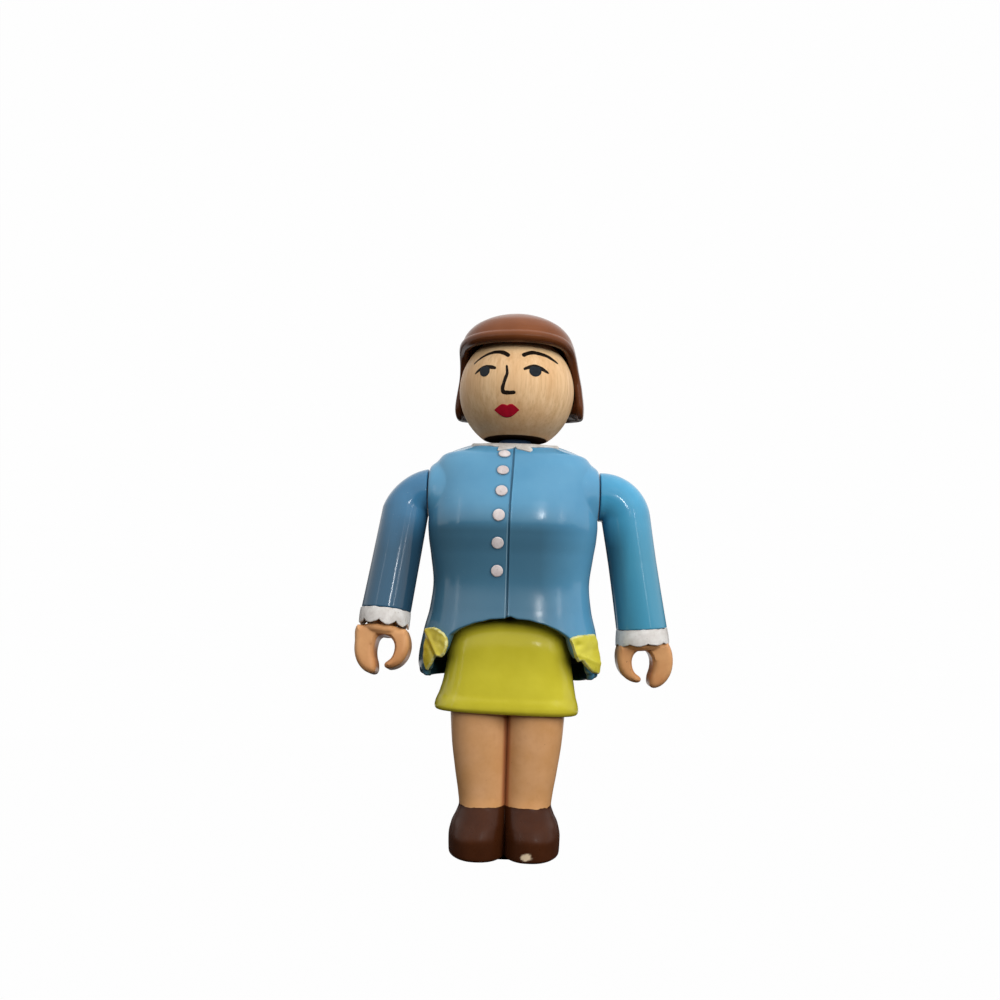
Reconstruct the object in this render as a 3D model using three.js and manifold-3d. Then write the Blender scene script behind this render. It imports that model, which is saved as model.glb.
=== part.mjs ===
// Toy woman figure: turned wooden ball head, moulded bob hair, hollow jacket in two shells,
// arms that swing at the shoulder, clamp hands that turn in their cuffs, and a skirt and legs that
// fold at the hip. Millimetres, +Z up. The figure faces -Y, its left hand is on the +X side, and
// the origin is in the middle of the soles.
import * as THREE from "three";
import { mergeVertices } from "three/addons/utils/BufferGeometryUtils.js";
import Module from "manifold-3d";

const wasm = await Module();
wasm.setup();

// Clearance between pieces that touch or turn in each other.
const GAP = 0.3;
const DEGREE = Math.PI / 180;
const LEFT = 1;
const RIGHT = -1;
// How far a cut reaches past a face, and a joined solid into its neighbour.
const PAST = 1;
// Beyond every face of the figure, for cuts that go right through it.
const FAR = 150;

// Hip: the axle's height over the soles sets the height of the jacket, skirt and legs.
const HIP = { height: 43.5, pinRadius: 1.3, bossRadius: 2.7, bossLength: 2.5, bossRoot: 0.5, endWall: 1.3 };

// Jacket stations from the hem up: height over the hem, half width, depth to front and to back.
const JACKET_STATIONS = [
  { up: 0, half: 18.7, front: 10.2, back: 11 },
  { up: 1.2, half: 19.7, front: 10.9, back: 11.6 },
  { up: 3.6, half: 20.1, front: 11.2, back: 11.8 },
  { up: 10.4, half: 19.1, front: 10.6, back: 10.9 },
  { up: 15.4, half: 17.9, front: 9.9, back: 9.9 },
  { up: 20.9, half: 17.3, front: 9.5, back: 9.2 },
  { up: 27, half: 18, front: 10.3, back: 9.4 },
  { up: 33.4, half: 18.8, front: 11.4, back: 9.8 },
  { up: 38.4, half: 18.5, front: 11, back: 9.7 },
  { up: 43, half: 18.1, front: 9.9, back: 9.1 },
  { up: 46.4, half: 17.6, front: 8.8, back: 8.3 },
  { up: 48.8, half: 16.2, front: 7.7, back: 7.4 },
  { up: 50.6, half: 13.2, front: 6.6, back: 6.6 },
  { up: 51.6, half: 10.6, front: 5.9, back: 6 },
  { up: 52, half: 9.2, front: 5.5, back: 5.7 },
];
const JACKET = {
  hemDrop: 4.9, // the hem's depth below the hip axle
  wall: 1.5,
  squareness: 2.4,
  innerTop: 45.6, // height of the hollow over the hem
  innerTopInset: 4,
  facets: 32,
  hollowFacets: 24,
};

// Front opening below the belt: half outline from the notch outwards, as half width and height
// over the hem. The jacket's front is cut away here so that the legs can fold up.
const OPENING = [
  { x: 0, up: 14 },
  { x: 1.3, up: 13.5 },
  { x: 4, up: 13.3 },
  { x: 8, up: 12.3 },
  { x: 11, up: 11 },
  { x: 13, up: 9.6 },
  { x: 13.4, up: 8 },
  { x: 13.7, up: 6.2 },
  { x: 14.6, up: 4.6 },
  { x: 16.4, up: 4.4 },
  { x: 17.4, up: 2.8 },
  { x: 18.4, up: 1.6 },
  { x: 18.8, up: -3 },
];

// Turned-back corner of the jacket beside the opening, as half width and height over the hem.
const TURNBACK = { thickness: 0.7, inner: 13, topIn: 15.4, topOut: 18.7, top: 10.7, outer: 22, bottom: 1.5 };

const GROOVE = { width: 0.55, depth: 0.5, topX: -0.2, chestX: -0.75, top: 51, chest: 34 };
const BUTTONS = {
  radius: 1.3,
  height: 0.4,
  facets: 12,
  places: [
    { x: -2.2, up: 48.7 },
    { x: -2.4, up: 45 },
    { x: -2.55, up: 40.5 },
    { x: -2.95, up: 35.3 },
    { x: -3.05, up: 29.5 },
    { x: -3.05, up: 23.6 },
  ],
};

// Collar: a thin band round the neck with two points that meet at the throat.
const COLLAR = {
  height: 0.3,
  half: 9.7,
  depth: 6.6,
  bandBottom: 50.2,
  bandHeight: 4,
  tipX: 3.75,
  tipUp: 49.8,
  tipWidth: 0.9,
  tipRise: 0.4,
  sideX: 4.25,
  pointTop: 51.2,
  throat: 0.25,
  throatDrop: 0.4,
  facets: 32,
};

// Posts that pin the two jacket shells together, at half width and height over the hem.
const POSTS = {
  radius: 2.2,
  pinRadius: 1.1,
  pinLength: 2.4,
  facets: 12,
  places: [
    { x: 9, up: 35 },
    { x: 9, up: 19.4 },
  ],
};

// Neck: a pin glued into the head, with a flange that turns in a pocket between the shells.
const NECK = {
  radius: 3.7,
  flangeRadius: 5.2,
  flange: 1.8,
  roof: 4.4,
  show: 0.9,
  mouthRadius: 4.6,
  mouthDepth: 1.1,
  spigotRadius: 2.4,
  spigot: 6,
  facets: 24,
};

const HEAD = { diameter: 25.4, flatRadius: 7, turn: -9.5, facets: 32 };

// Hair cap stations: height over the middle of the head, half width, depth to front and back.
const HAIR_STATIONS = [
  { up: -6.6, half: 13.7, front: 13.4, back: 13.7 },
  { up: -5.6, half: 14.4, front: 14, back: 14.5 },
  { up: -3, half: 14.7, front: 14.2, back: 14.9 },
  { up: 1, half: 14.25, front: 14, back: 14.8 },
  { up: 5, half: 13.5, front: 13.5, back: 14.3 },
  { up: 9, half: 12.75, front: 12.7, back: 13.2 },
  { up: 11.4, half: 11.9, front: 11.7, back: 12.2 },
  { up: 13.4, half: 10.3, front: 10.2, back: 10.7 },
  { up: 15.2, half: 7.8, front: 7.8, back: 8.3 },
  { up: 16.6, half: 4.7, front: 4.8, back: 5.2 },
  { up: 17.2, half: 1.8, front: 1.9, back: 2.1 },
];
// The face opening's edge seen from the side: y at the temple and lower down, and its curves.
const HAIR = {
  squareness: 2.15,
  facets: 32,
  sideEdge: -1.2,
  templeEdge: -3.4,
  templeRound: 2,
  templeStep: 0.6,
  sideRound: 2,
};
const FRINGE = {
  underside: 7.3,
  radius: 1.9,
  half: 11.1,
  front: 11.9,
  sweep: 78,
  bends: 8,
  facets: 10,
  steps: 18,
};

// Sleeve: a bent tube. It leaves the shoulder sideways, bends down and leans out a little, and its
// end is cut nearer to level than it leans.
const SLEEVE = {
  shoulderUp: 40.8, // height of the shoulder axis over the jacket hem
  seatX: 18.6, // the flat pad on the jacket's side
  padRadius: 4.9,
  padFacets: 32,
  bend: 5.7,
  lead: 0.6,
  wristLean: 4.4,
  shoulderRadius: 5.4,
  elbowRadius: 5.25,
  elbowAt: 0.4, // share of the straight length over which it slims
  endRadius: 5.6,
  facets: 20,
};
const SHOULDER = { stubRadius: 3, flangeRadius: 4.5, flange: 1.5, wall: 2.3 };

// The two arms differ a little: degrees that the arm leans out, its length below the bend, its
// swing at rest in degrees, and how far the hand stands out of the cuff.
const ARMS = {
  left: { lean: 9.8, length: 24.6, swing: 0, handOut: 0 },
  right: { lean: 5, length: 21.7, swing: -10, handOut: 0.9 },
};

const CUFF = {
  length: 3.6,
  topRadius: 5.65,
  hemRadius: 5.95,
  lip: 1.2,
  lipWall: 0.45,
  scallops: 9,
  scallop: 0.55,
  facets: 36,
};

const HAND = {
  thickness: 7.2,
  bevel: 1.1,
  bevelInset: 0.35,
  wristRadius: 5.1,
  wrist: 3,
  pegRadius: 2.6,
  peg: 6.2,
  facets: 20,
  curveFacets: 4,
};

// Outline of the clamp in x and z from the cuff's hem: curves from the start, each as two control
// points and an end. The outer finger is on the +x side, the thumb on the other.
const CLAMP_START = [5.2, 0.6];
const CLAMP_CURVES = [
  [6.3, -1, 6.5, -3.4, 6, -5.4],
  [5.5, -7.6, 3.6, -9.4, 1.9, -9.5],
  [1, -9.5, 0.7, -8.9, 0.75, -8.2],
  [0.8, -7.4, 0.9, -6.9, 1.3, -6.1],
  [2, -4.6, 1.7, -2.2, -0.5, -2.1],
  [-2.7, -2.2, -3.2, -4.4, -2.4, -5.7],
  [-1.9, -6.5, -1.1, -6.7, -1, -7.3],
  [-0.95, -8, -1.6, -8.2, -2.2, -8.1],
  [-4.2, -7.8, -5.8, -5.9, -6, -3.9],
  [-6.2, -2.2, -6, -0.6, -5.2, 0.6],
];

// Skirt: a flared shell whose top is a barrel round the hip axle.
const SKIRT = {
  drop: 12,
  wall: 1.3,
  barrelRadius: 8,
  hipHalf: 13.75,
  topHalf: 8.9,
  hemHalf: 16.1,
  hemFront: 8.5,
  hemBack: 8.9,
  flare: 1.3, // power of the flare: a larger one spreads the skirt nearer the hem
  narrowing: 1.2, // power with which the barrel narrows to its top
  barrelEnd: 84, // degrees of the barrel before it is closed flat
  rim: 0.6,
  rimHeight: 0.8,
  squareness: 3.1,
  facets: 32,
  hollowFacets: 24,
};

// One leg with its shoe: height over the soles, half width, and depth to front and to back.
const LEG_STATIONS = [
  { z: 0, half: 5.95, front: 9, back: 5.9 },
  { z: 0.8, half: 6.3, front: 9.5, back: 6.3 },
  { z: 4, half: 6.35, front: 9.5, back: 6.4 },
  { z: 6.6, half: 6.1, front: 8.7, back: 6.1 },
  { z: 8.8, half: 5.6, front: 7, back: 5.6 },
  { z: 10.8, half: 5.3, front: 5.7, back: 5.2 },
  { z: 13, half: 5.42, front: 5.4, back: 5.2 },
  { z: 18, half: 5.82, front: 5.7, back: 5.5 },
  { z: 25, half: 6.3, front: 6.1, back: 5.9 },
  { z: 33, half: 6.6, front: 6.3, back: 6.1 },
];
const LEGS = {
  join: 0.35,
  squareness: 2.3,
  facets: 26,
  hubHalf: 8.5,
  hubRadius: 5.6,
  hubBottom: 30,
  hubFacets: 28,
};

const jacketHem = HIP.height - JACKET.hemDrop;
const jacketTop = jacketHem + JACKET_STATIONS.at(-1).up;
const shoulderZ = jacketHem + SLEEVE.shoulderUp;
const headRadius = HEAD.diameter / 2;
const headFlat = jacketTop + NECK.show;
const headRise = Math.sqrt(headRadius ** 2 - HEAD.flatRadius ** 2);
const headZ = headFlat + headRise;

const paint = (color, roughness, metalness = 0) =>
  new THREE.MeshStandardMaterial({ color, roughness, metalness });
const MATERIALS = {
  wood: paint(0xc9a277, 0.6),
  hair: paint(0x7a4526, 0.3),
  jacket: paint(0x5b93b8, 0.25),
  navy: paint(0x1d2a3c, 0.4),
  cuff: paint(0xe2dedb, 0.5),
  skin: paint(0xd19f7d, 0.45),
  skirt: paint(0xc3bd3a, 0.3),
  steel: paint(0x8b8d90, 0.35, 1),
};

// Turns a closed three.js geometry into a solid that can be joined and cut.
function solid(geometry) {
  const bare = new THREE.BufferGeometry();
  bare.setAttribute("position", geometry.getAttribute("position").clone());
  if (geometry.index) bare.setIndex(geometry.index);
  const merged = mergeVertices(bare, 1e-4);
  return new wasm.Manifold(
    new wasm.Mesh({
      numProp: 3,
      vertProperties: new Float32Array(merged.attributes.position.array),
      triVerts: new Uint32Array(merged.index.array),
    }),
  );
}

// Turns a solid into a named mesh.
function piece(name, body, material) {
  const { numProp, vertProperties, triVerts } = body.getMesh();
  const count = vertProperties.length / numProp;
  const positions = new Float32Array(count * 3);
  for (let i = 0; i < count; i++) {
    positions.set(vertProperties.subarray(i * numProp, i * numProp + 3), i * 3);
  }
  const geometry = new THREE.BufferGeometry();
  geometry.setAttribute("position", new THREE.BufferAttribute(positions, 3));
  geometry.setIndex(new THREE.BufferAttribute(triVerts, 1));
  const mesh = new THREE.Mesh(geometry, material);
  mesh.name = name;
  return mesh;
}

// A closed body through rings of points. Each ring runs anticlockwise seen against the direction
// in which the rings follow each other.
function loft(rings) {
  const size = rings[0].length;
  const corners = rings.flat();
  const first = corners.length;
  for (const ring of [rings[0], rings.at(-1)]) {
    const middle = new THREE.Vector3();
    ring.forEach((p) => middle.add(p));
    corners.push(middle.divideScalar(size));
  }
  const faces = [];
  for (let row = 0; row < rings.length - 1; row++) {
    for (let i = 0; i < size; i++) {
      const a = row * size + i;
      const b = row * size + ((i + 1) % size);
      faces.push(a, b, b + size, a, b + size, a + size);
    }
  }
  const top = (rings.length - 1) * size;
  for (let i = 0; i < size; i++) {
    const next = (i + 1) % size;
    faces.push(first, next, i, first + 1, top + i, top + next);
  }
  const geometry = new THREE.BufferGeometry().setFromPoints(corners);
  geometry.setIndex(faces);
  return solid(geometry);
}

// A level ring with its own depth to the front and to the back, from round (2) to square (large).
function ovalRing({ half, front, back, z, x = 0 }, squareness, facets) {
  const power = 2 / squareness;
  return Array.from({ length: facets }, (_, i) => {
    const angle = (i / facets) * 2 * Math.PI;
    const c = Math.cos(angle);
    const s = Math.sin(angle);
    const depth = s < 0 ? front : back;
    return new THREE.Vector3(
      x + half * Math.sign(c) * Math.abs(c) ** power,
      depth * Math.sign(s) * Math.abs(s) ** power,
      z,
    );
  });
}

// A cylinder along an axis ("x", "y" or "z") from one place to another on it.
function rod(axis, radius, from, to, at = {}, facets = 20) {
  const geometry = new THREE.CylinderGeometry(radius, radius, Math.abs(to - from), facets);
  if (axis === "x") geometry.rotateZ(Math.PI / 2);
  if (axis === "z") geometry.rotateX(Math.PI / 2);
  const place = { x: 0, y: 0, z: 0, ...at };
  place[axis] = (from + to) / 2;
  geometry.translate(place.x, place.y, place.z);
  return solid(geometry);
}

function block(xMin, xMax, yMin, yMax, zMin, zMax) {
  const geometry = new THREE.BoxGeometry(xMax - xMin, yMax - yMin, zMax - zMin);
  geometry.translate((xMin + xMax) / 2, (yMin + yMax) / 2, (zMin + zMax) / 2);
  return solid(geometry);
}

// A turned solid about Z: the profile is a list of [radius, z] and starts and ends on the axis.
function turned(profile, facets) {
  const points = profile.map(([radius, z]) => new THREE.Vector2(radius, z));
  const geometry = new THREE.LatheGeometry(points, facets);
  geometry.rotateX(Math.PI / 2);
  return solid(geometry);
}

// A flat outline in the XZ plane, given as [x, z] anticlockwise seen from the front (-Y), as a
// plate from one depth to another.
function plate(outline, yFrom, yTo) {
  const shape = new THREE.Shape(outline.map(([x, z]) => new THREE.Vector2(x, z)));
  const geometry = new THREE.ExtrudeGeometry(shape, { depth: yTo - yFrom, bevelEnabled: false });
  geometry.rotateX(Math.PI / 2);
  geometry.translate(0, yTo, 0);
  return solid(geometry);
}

const mirrored = (body) => body.mirror([1, 0, 0]);
const bothSides = (body) => body.add(mirrored(body));

// The jacket's outer form, grown by an amount: a negative one gives the hollow or a groove floor.
function jacketForm(grow) {
  const rings = JACKET_STATIONS.map(({ up, half, front, back }) =>
    ovalRing(
      { half: half + grow, front: front + grow, back: back + grow, z: jacketHem + up + Math.max(grow, 0) },
      JACKET.squareness,
      JACKET.facets,
    ),
  );
  return loft(rings);
}

function jacketHollow() {
  const wall = JACKET.wall;
  const rows = JACKET_STATIONS.filter(({ up }) => up < JACKET.innerTop);
  const inner = rows.map(({ up, half, front, back }) => ({
    half: half - wall,
    front: front - wall,
    back: back - wall,
    z: jacketHem + up,
  }));
  const below = { ...inner[0], z: jacketHem - 2 * wall };
  const last = inner.at(-1);
  const inset = JACKET.innerTopInset;
  const roof = {
    half: last.half - inset,
    front: last.front - inset / 2,
    back: last.back - inset / 2,
    z: jacketHem + JACKET.innerTop,
  };
  return loft([below, ...inner, roof].map((row) => ovalRing(row, JACKET.squareness, JACKET.hollowFacets)));
}

function frontOpening() {
  const half = OPENING.map(({ x, up }) => [x, jacketHem + up]);
  const other = half.slice(1).reverse().map(([x, z]) => [-x, z]);
  return plate([...half, ...other], -FAR, -GAP);
}

// What of a plate lies between the jacket's surface and a surface grown by the given height.
const relief = (outline, height) => plate(outline, -FAR, -GAP).intersect(jacketForm(height));

function turnback() {
  const beside = OPENING.filter(({ x, up }) => x >= TURNBACK.inner && up > TURNBACK.bottom);
  const edge = beside.map(({ x, up }) => [x, jacketHem + up]);
  const outline = [
    [TURNBACK.topIn, jacketHem + TURNBACK.top],
    ...edge,
    [TURNBACK.topOut, jacketHem + TURNBACK.bottom],
    [TURNBACK.outer, jacketHem + TURNBACK.bottom],
    [TURNBACK.outer, jacketHem + TURNBACK.top],
  ];
  return relief(outline, TURNBACK.thickness);
}

function groove() {
  const w = GROOVE.width / 2;
  const path = [
    [GROOVE.topX, jacketHem + GROOVE.top],
    [GROOVE.chestX, jacketHem + GROOVE.chest],
    [GROOVE.chestX, jacketHem],
  ];
  const outline = [
    ...path.map(([x, z]) => [x - w, z]),
    ...path.slice().reverse().map(([x, z]) => [x + w, z]),
  ];
  return plate(outline, -FAR, -GAP).subtract(jacketForm(-GROOVE.depth));
}

function buttons() {
  const grown = jacketForm(BUTTONS.height);
  const studs = BUTTONS.places.map(({ x, up }) =>
    rod("y", BUTTONS.radius, -FAR, -GAP, { x, z: jacketHem + up }, BUTTONS.facets),
  );
  return studs.reduce((all, stud) => all.add(stud)).intersect(grown);
}

function collar() {
  const { half, depth, bandHeight, tipX, sideX, throat } = COLLAR;
  const band = new THREE.CylinderGeometry(1, 1, bandHeight, COLLAR.facets);
  band.rotateX(Math.PI / 2);
  band.scale(half, depth, 1);
  band.translate(0, 0, jacketHem + COLLAR.bandBottom + bandHeight / 2);
  const over = jacketTop + bandHeight;
  const tipZ = jacketHem + COLLAR.tipUp;
  const throatZ = jacketHem + COLLAR.pointTop;
  const point = plate(
    [
      [throat, throatZ - COLLAR.throatDrop],
      [tipX - COLLAR.tipWidth, tipZ],
      [tipX, tipZ + COLLAR.tipRise],
      [sideX, throatZ],
      [sideX, over],
      [throat, over],
    ],
    -FAR,
    -GAP,
  );
  const front = block(-sideX, sideX, -FAR, -GAP, jacketHem, over);
  return solid(band).subtract(front).add(bothSides(point)).intersect(jacketForm(COLLAR.height));
}

// The neck bore with its mouth, and the pocket below it for the flange.
function neckRoom() {
  const pocketTop = jacketTop - NECK.roof;
  const pocketBottom = jacketHem + JACKET.innerTop - 2 * JACKET.wall;
  const bore = NECK.radius + GAP;
  return turned(
    [
      [0, pocketBottom],
      [NECK.flangeRadius + GAP, pocketBottom],
      [NECK.flangeRadius + GAP, pocketTop],
      [bore, pocketTop],
      [bore, jacketTop - NECK.mouthDepth],
      [NECK.mouthRadius, jacketTop],
      [NECK.mouthRadius, jacketTop + PAST],
      [0, jacketTop + PAST],
    ],
    NECK.facets,
  );
}

// Half width of the jacket at a height over its hem.
function jacketHalf(up) {
  const above = JACKET_STATIONS.findIndex((row) => row.up >= up);
  const [low, high] = JACKET_STATIONS.slice(above - 1, above + 1);
  return THREE.MathUtils.mapLinear(up, low.up, high.up, low.half, high.half);
}

const shoulderWallX = SLEEVE.seatX - SHOULDER.wall;
const hipSideX = jacketHalf(JACKET.hemDrop) - JACKET.wall;

// Pads that carry the arms and bosses that carry the hip axle, on both sides.
function jacketBosses() {
  const pad = rod("x", SLEEVE.padRadius, shoulderWallX, SLEEVE.seatX, { z: shoulderZ }, SLEEVE.padFacets);
  const bossEnd = hipSideX + HIP.bossRoot;
  const boss = rod("x", HIP.bossRadius, hipSideX - HIP.bossLength, bossEnd, { z: HIP.height });
  return bothSides(pad.add(boss));
}

const hipPinEnd = hipSideX + JACKET.wall - HIP.endWall - GAP;

function jacketBores() {
  const armFrom = shoulderWallX - PAST;
  const arm = rod("x", SHOULDER.stubRadius + GAP, armFrom, SLEEVE.seatX + PAST, { z: shoulderZ });
  const pocketFrom = shoulderWallX - SHOULDER.flange - 2 * GAP;
  const pocket = rod("x", SHOULDER.flangeRadius + GAP, pocketFrom, shoulderWallX, { z: shoulderZ });
  const hipFrom = hipSideX - 2 * HIP.bossLength;
  const hip = rod("x", HIP.pinRadius + GAP, hipFrom, hipPinEnd + GAP, { z: HIP.height });
  return bothSides(arm.add(pocket).add(hip));
}

function postsFrom(yFrom, yTo, radius) {
  const posts = POSTS.places.map(({ x, up }) =>
    rod("y", radius, yFrom, yTo, { x, z: jacketHem + up }, POSTS.facets),
  );
  return bothSides(posts.reduce((all, post) => all.add(post)));
}

function torsoShells() {
  const form = jacketForm(0);
  const hollow = jacketHollow();
  const bosses = jacketBosses();
  const parting = GAP / 2;
  const frontHalf = block(-FAR, FAR, -FAR, -parting, 0, FAR);
  const backHalf = block(-FAR, FAR, parting, FAR, 0, FAR);
  const cuts = neckRoom().add(jacketBores());
  const frontPosts = postsFrom(-FAR, -parting, POSTS.radius).intersect(form);
  const backPosts = postsFrom(parting, FAR, POSTS.radius).intersect(form);
  const sockets = postsFrom(-POSTS.pinLength - 2 * GAP, 0, POSTS.pinRadius + GAP);
  const pins = postsFrom(-POSTS.pinLength, 2 * parting, POSTS.pinRadius);
  const band = collar();
  const front = form
    .add(band)
    .add(buttons())
    .add(bothSides(turnback()))
    .subtract(hollow)
    .subtract(frontOpening())
    .add(bosses)
    .add(frontPosts)
    .subtract(groove())
    .subtract(cuts)
    .subtract(sockets)
    .intersect(frontHalf);
  const back = form
    .add(band)
    .subtract(hollow)
    .add(bosses)
    .add(backPosts)
    .subtract(cuts)
    .intersect(backHalf)
    .add(pins);
  return [piece("torso_front", front, MATERIALS.jacket), piece("torso_back", back, MATERIALS.jacket)];
}

function neckPin() {
  const pocketTop = jacketTop - NECK.roof;
  const seat = headFlat - GAP;
  const flangeTop = pocketTop - GAP;
  const body = turned(
    [
      [0, flangeTop - NECK.flange],
      [NECK.flangeRadius, flangeTop - NECK.flange],
      [NECK.flangeRadius, flangeTop],
      [NECK.radius, flangeTop],
      [NECK.radius, seat],
      [NECK.spigotRadius, seat],
      [NECK.spigotRadius, seat + NECK.spigot],
      [0, seat + NECK.spigot],
    ],
    NECK.facets,
  );
  return piece("neck_pin", body, MATERIALS.navy);
}

// Turned ball with a flat underside and a blind bore for the neck pin.
function headBall() {
  const steps = 14;
  const low = Math.asin(-headRise / headRadius);
  const profile = [[0, -headRise]];
  for (let i = 0; i < steps; i++) {
    const angle = low + (i / steps) * (Math.PI / 2 - low);
    profile.push([headRadius * Math.cos(angle), headRadius * Math.sin(angle)]);
  }
  profile.push([0, headRadius]);
  const boreTop = -headRise + NECK.spigot + GAP;
  const bore = rod("z", NECK.spigotRadius + GAP, -headRise - PAST, boreTop);
  return piece("head_ball", turned(profile, HEAD.facets).subtract(bore), MATERIALS.wood);
}

// The roll of hair over the forehead: a round bar bent along half an oval.
function fringeRoll() {
  const sweep = FRINGE.sweep * DEGREE;
  const level = FRINGE.underside + FRINGE.radius;
  const points = [];
  for (let i = 0; i <= FRINGE.bends; i++) {
    const angle = -sweep + (i / FRINGE.bends) * 2 * sweep;
    points.push(new THREE.Vector3(FRINGE.half * Math.sin(angle), -FRINGE.front * Math.cos(angle), level));
  }
  const section = new THREE.Shape();
  section.absarc(0, 0, FRINGE.radius, 0, 2 * Math.PI);
  const geometry = new THREE.ExtrudeGeometry(section, {
    steps: FRINGE.steps,
    curveSegments: FRINGE.facets,
    bevelEnabled: false,
    extrudePath: new THREE.CatmullRomCurve3(points),
  });
  return solid(geometry);
}

function hairCap() {
  const rings = HAIR_STATIONS.map(({ up, half, front, back }) =>
    ovalRing({ half, front, back, z: up }, HAIR.squareness, HAIR.facets),
  );
  const hollowRadius = headRadius + GAP;
  const dome = new THREE.SphereGeometry(hollowRadius, HEAD.facets, HEAD.facets / 2);
  dome.rotateX(Math.PI / 2);
  const hollow = solid(dome).add(rod("z", hollowRadius, -headRadius, 0, {}, HEAD.facets));
  const { templeEdge, templeRound, templeStep, sideEdge, sideRound } = HAIR;
  const top = FRINGE.underside;
  const face = new THREE.Shape();
  face.moveTo(-FAR, top);
  face.lineTo(templeEdge - templeRound, top);
  face.quadraticCurveTo(templeEdge, top, templeEdge + templeStep, top - templeRound);
  face.quadraticCurveTo(sideEdge, sideRound, sideEdge, -sideRound);
  face.lineTo(sideEdge, -FAR);
  face.lineTo(-FAR, -FAR);
  const opening = new THREE.ExtrudeGeometry(face, { depth: 2 * FAR, bevelEnabled: false, curveSegments: 6 });
  opening.rotateX(Math.PI / 2);
  opening.rotateZ(Math.PI / 2);
  opening.translate(-FAR, 0, 0);
  const cap = loft(rings).subtract(solid(opening)).add(fringeRoll()).subtract(hollow);
  return piece("hair_cap", cap, MATERIALS.hair);
}

const armOf = (side) => (side === LEFT ? ARMS.left : ARMS.right);

// Places along the sleeve's middle line: x from the shoulder axis, z, slope and radius.
function sleevePath(side) {
  const { lean, length } = armOf(side);
  const turn = Math.PI / 2 - lean * DEGREE;
  const wristTurn = Math.PI / 2 - SLEEVE.wristLean * DEGREE;
  const startX = SLEEVE.seatX + GAP;
  const bendX = startX + SLEEVE.lead;
  const places = [{ x: startX, z: 0, angle: 0, radius: SLEEVE.shoulderRadius }];
  const bendSteps = 8;
  for (let i = 0; i <= bendSteps; i++) {
    const angle = (i / bendSteps) * turn;
    places.push({
      x: bendX + SLEEVE.bend * Math.sin(angle),
      z: -SLEEVE.bend * (1 - Math.cos(angle)),
      angle,
      radius: SLEEVE.shoulderRadius,
    });
  }
  const from = places.at(-1);
  const straightSteps = 5;
  for (let i = 1; i <= straightSteps; i++) {
    const t = i / straightSteps;
    const slimmed = Math.min(1, t / SLEEVE.elbowAt);
    const slim = THREE.MathUtils.lerp(SLEEVE.shoulderRadius, SLEEVE.elbowRadius, slimmed);
    places.push({
      x: from.x + t * length * Math.cos(turn),
      z: from.z - t * length * Math.sin(turn),
      angle: THREE.MathUtils.lerp(turn, wristTurn, t * t),
      radius: THREE.MathUtils.lerp(slim, SLEEVE.endRadius, t * t),
    });
  }
  return places;
}

// Moves a solid made about Z, with the wrist plane at z = 0 and the arm above it, to the end of
// a side's sleeve while that still lies on the +X side.
function atWrist(body, side) {
  const end = sleevePath(side).at(-1);
  return body.rotate([0, -SLEEVE.wristLean, 0]).translate([end.x, 0, end.z]);
}

// Both arms are made for the +X side and mirrored for the other one.
const toSide = (body, side) => (side === LEFT ? body : mirrored(body));

function sleeve(side) {
  const rings = sleevePath(side).map(({ x, z, angle, radius }) =>
    Array.from({ length: SLEEVE.facets }, (_, i) => {
      const a = (i / SLEEVE.facets) * 2 * Math.PI;
      const across = radius * Math.cos(a);
      return new THREE.Vector3(
        x + across * Math.sin(angle),
        -radius * Math.sin(a),
        z + across * Math.cos(angle),
      );
    }),
  );
  const flangeOuter = shoulderWallX - GAP;
  const stub = rod("x", SHOULDER.stubRadius, flangeOuter - SHOULDER.flange, SLEEVE.seatX + PAST);
  const flange = rod("x", SHOULDER.flangeRadius, flangeOuter - SHOULDER.flange, flangeOuter);
  const bore = atWrist(rod("z", HAND.pegRadius + GAP, -PAST, HAND.peg - CUFF.length + GAP), side);
  return toSide(loft(rings).add(stub).add(flange).subtract(bore), side);
}

// A white ring with a scalloped hem, hollow below so that the hand's wrist turns in it.
function cuff(side) {
  const rows = Array.from({ length: CUFF.facets }, (_, i) => {
    const angle = (i / CUFF.facets) * 2 * Math.PI;
    const lobe = Math.abs(Math.cos((angle * CUFF.scallops) / 2));
    const hem = -CUFF.length + CUFF.scallop * (1 - lobe);
    const web = -CUFF.length + CUFF.lip;
    const bore = HAND.pegRadius + GAP;
    const inside = CUFF.hemRadius - CUFF.lipWall;
    const section = [
      [bore, -GAP],
      [CUFF.topRadius, -GAP],
      [CUFF.hemRadius, hem],
      [inside, hem],
      [inside, web],
      [bore, web],
    ];
    return section.map(([r, z]) => new THREE.Vector3(r * Math.cos(angle), r * Math.sin(angle), z));
  });
  const size = rows[0].length;
  const faces = [];
  for (let row = 0; row < rows.length; row++) {
    const here = row * size;
    const next = ((row + 1) % rows.length) * size;
    for (let i = 0; i < size; i++) {
      const j = (i + 1) % size;
      faces.push(here + i, here + j, next + j, here + i, next + j, next + i);
    }
  }
  const geometry = new THREE.BufferGeometry().setFromPoints(rows.flat());
  geometry.setIndex(faces);
  return toSide(atWrist(solid(geometry), side), side);
}

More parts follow.
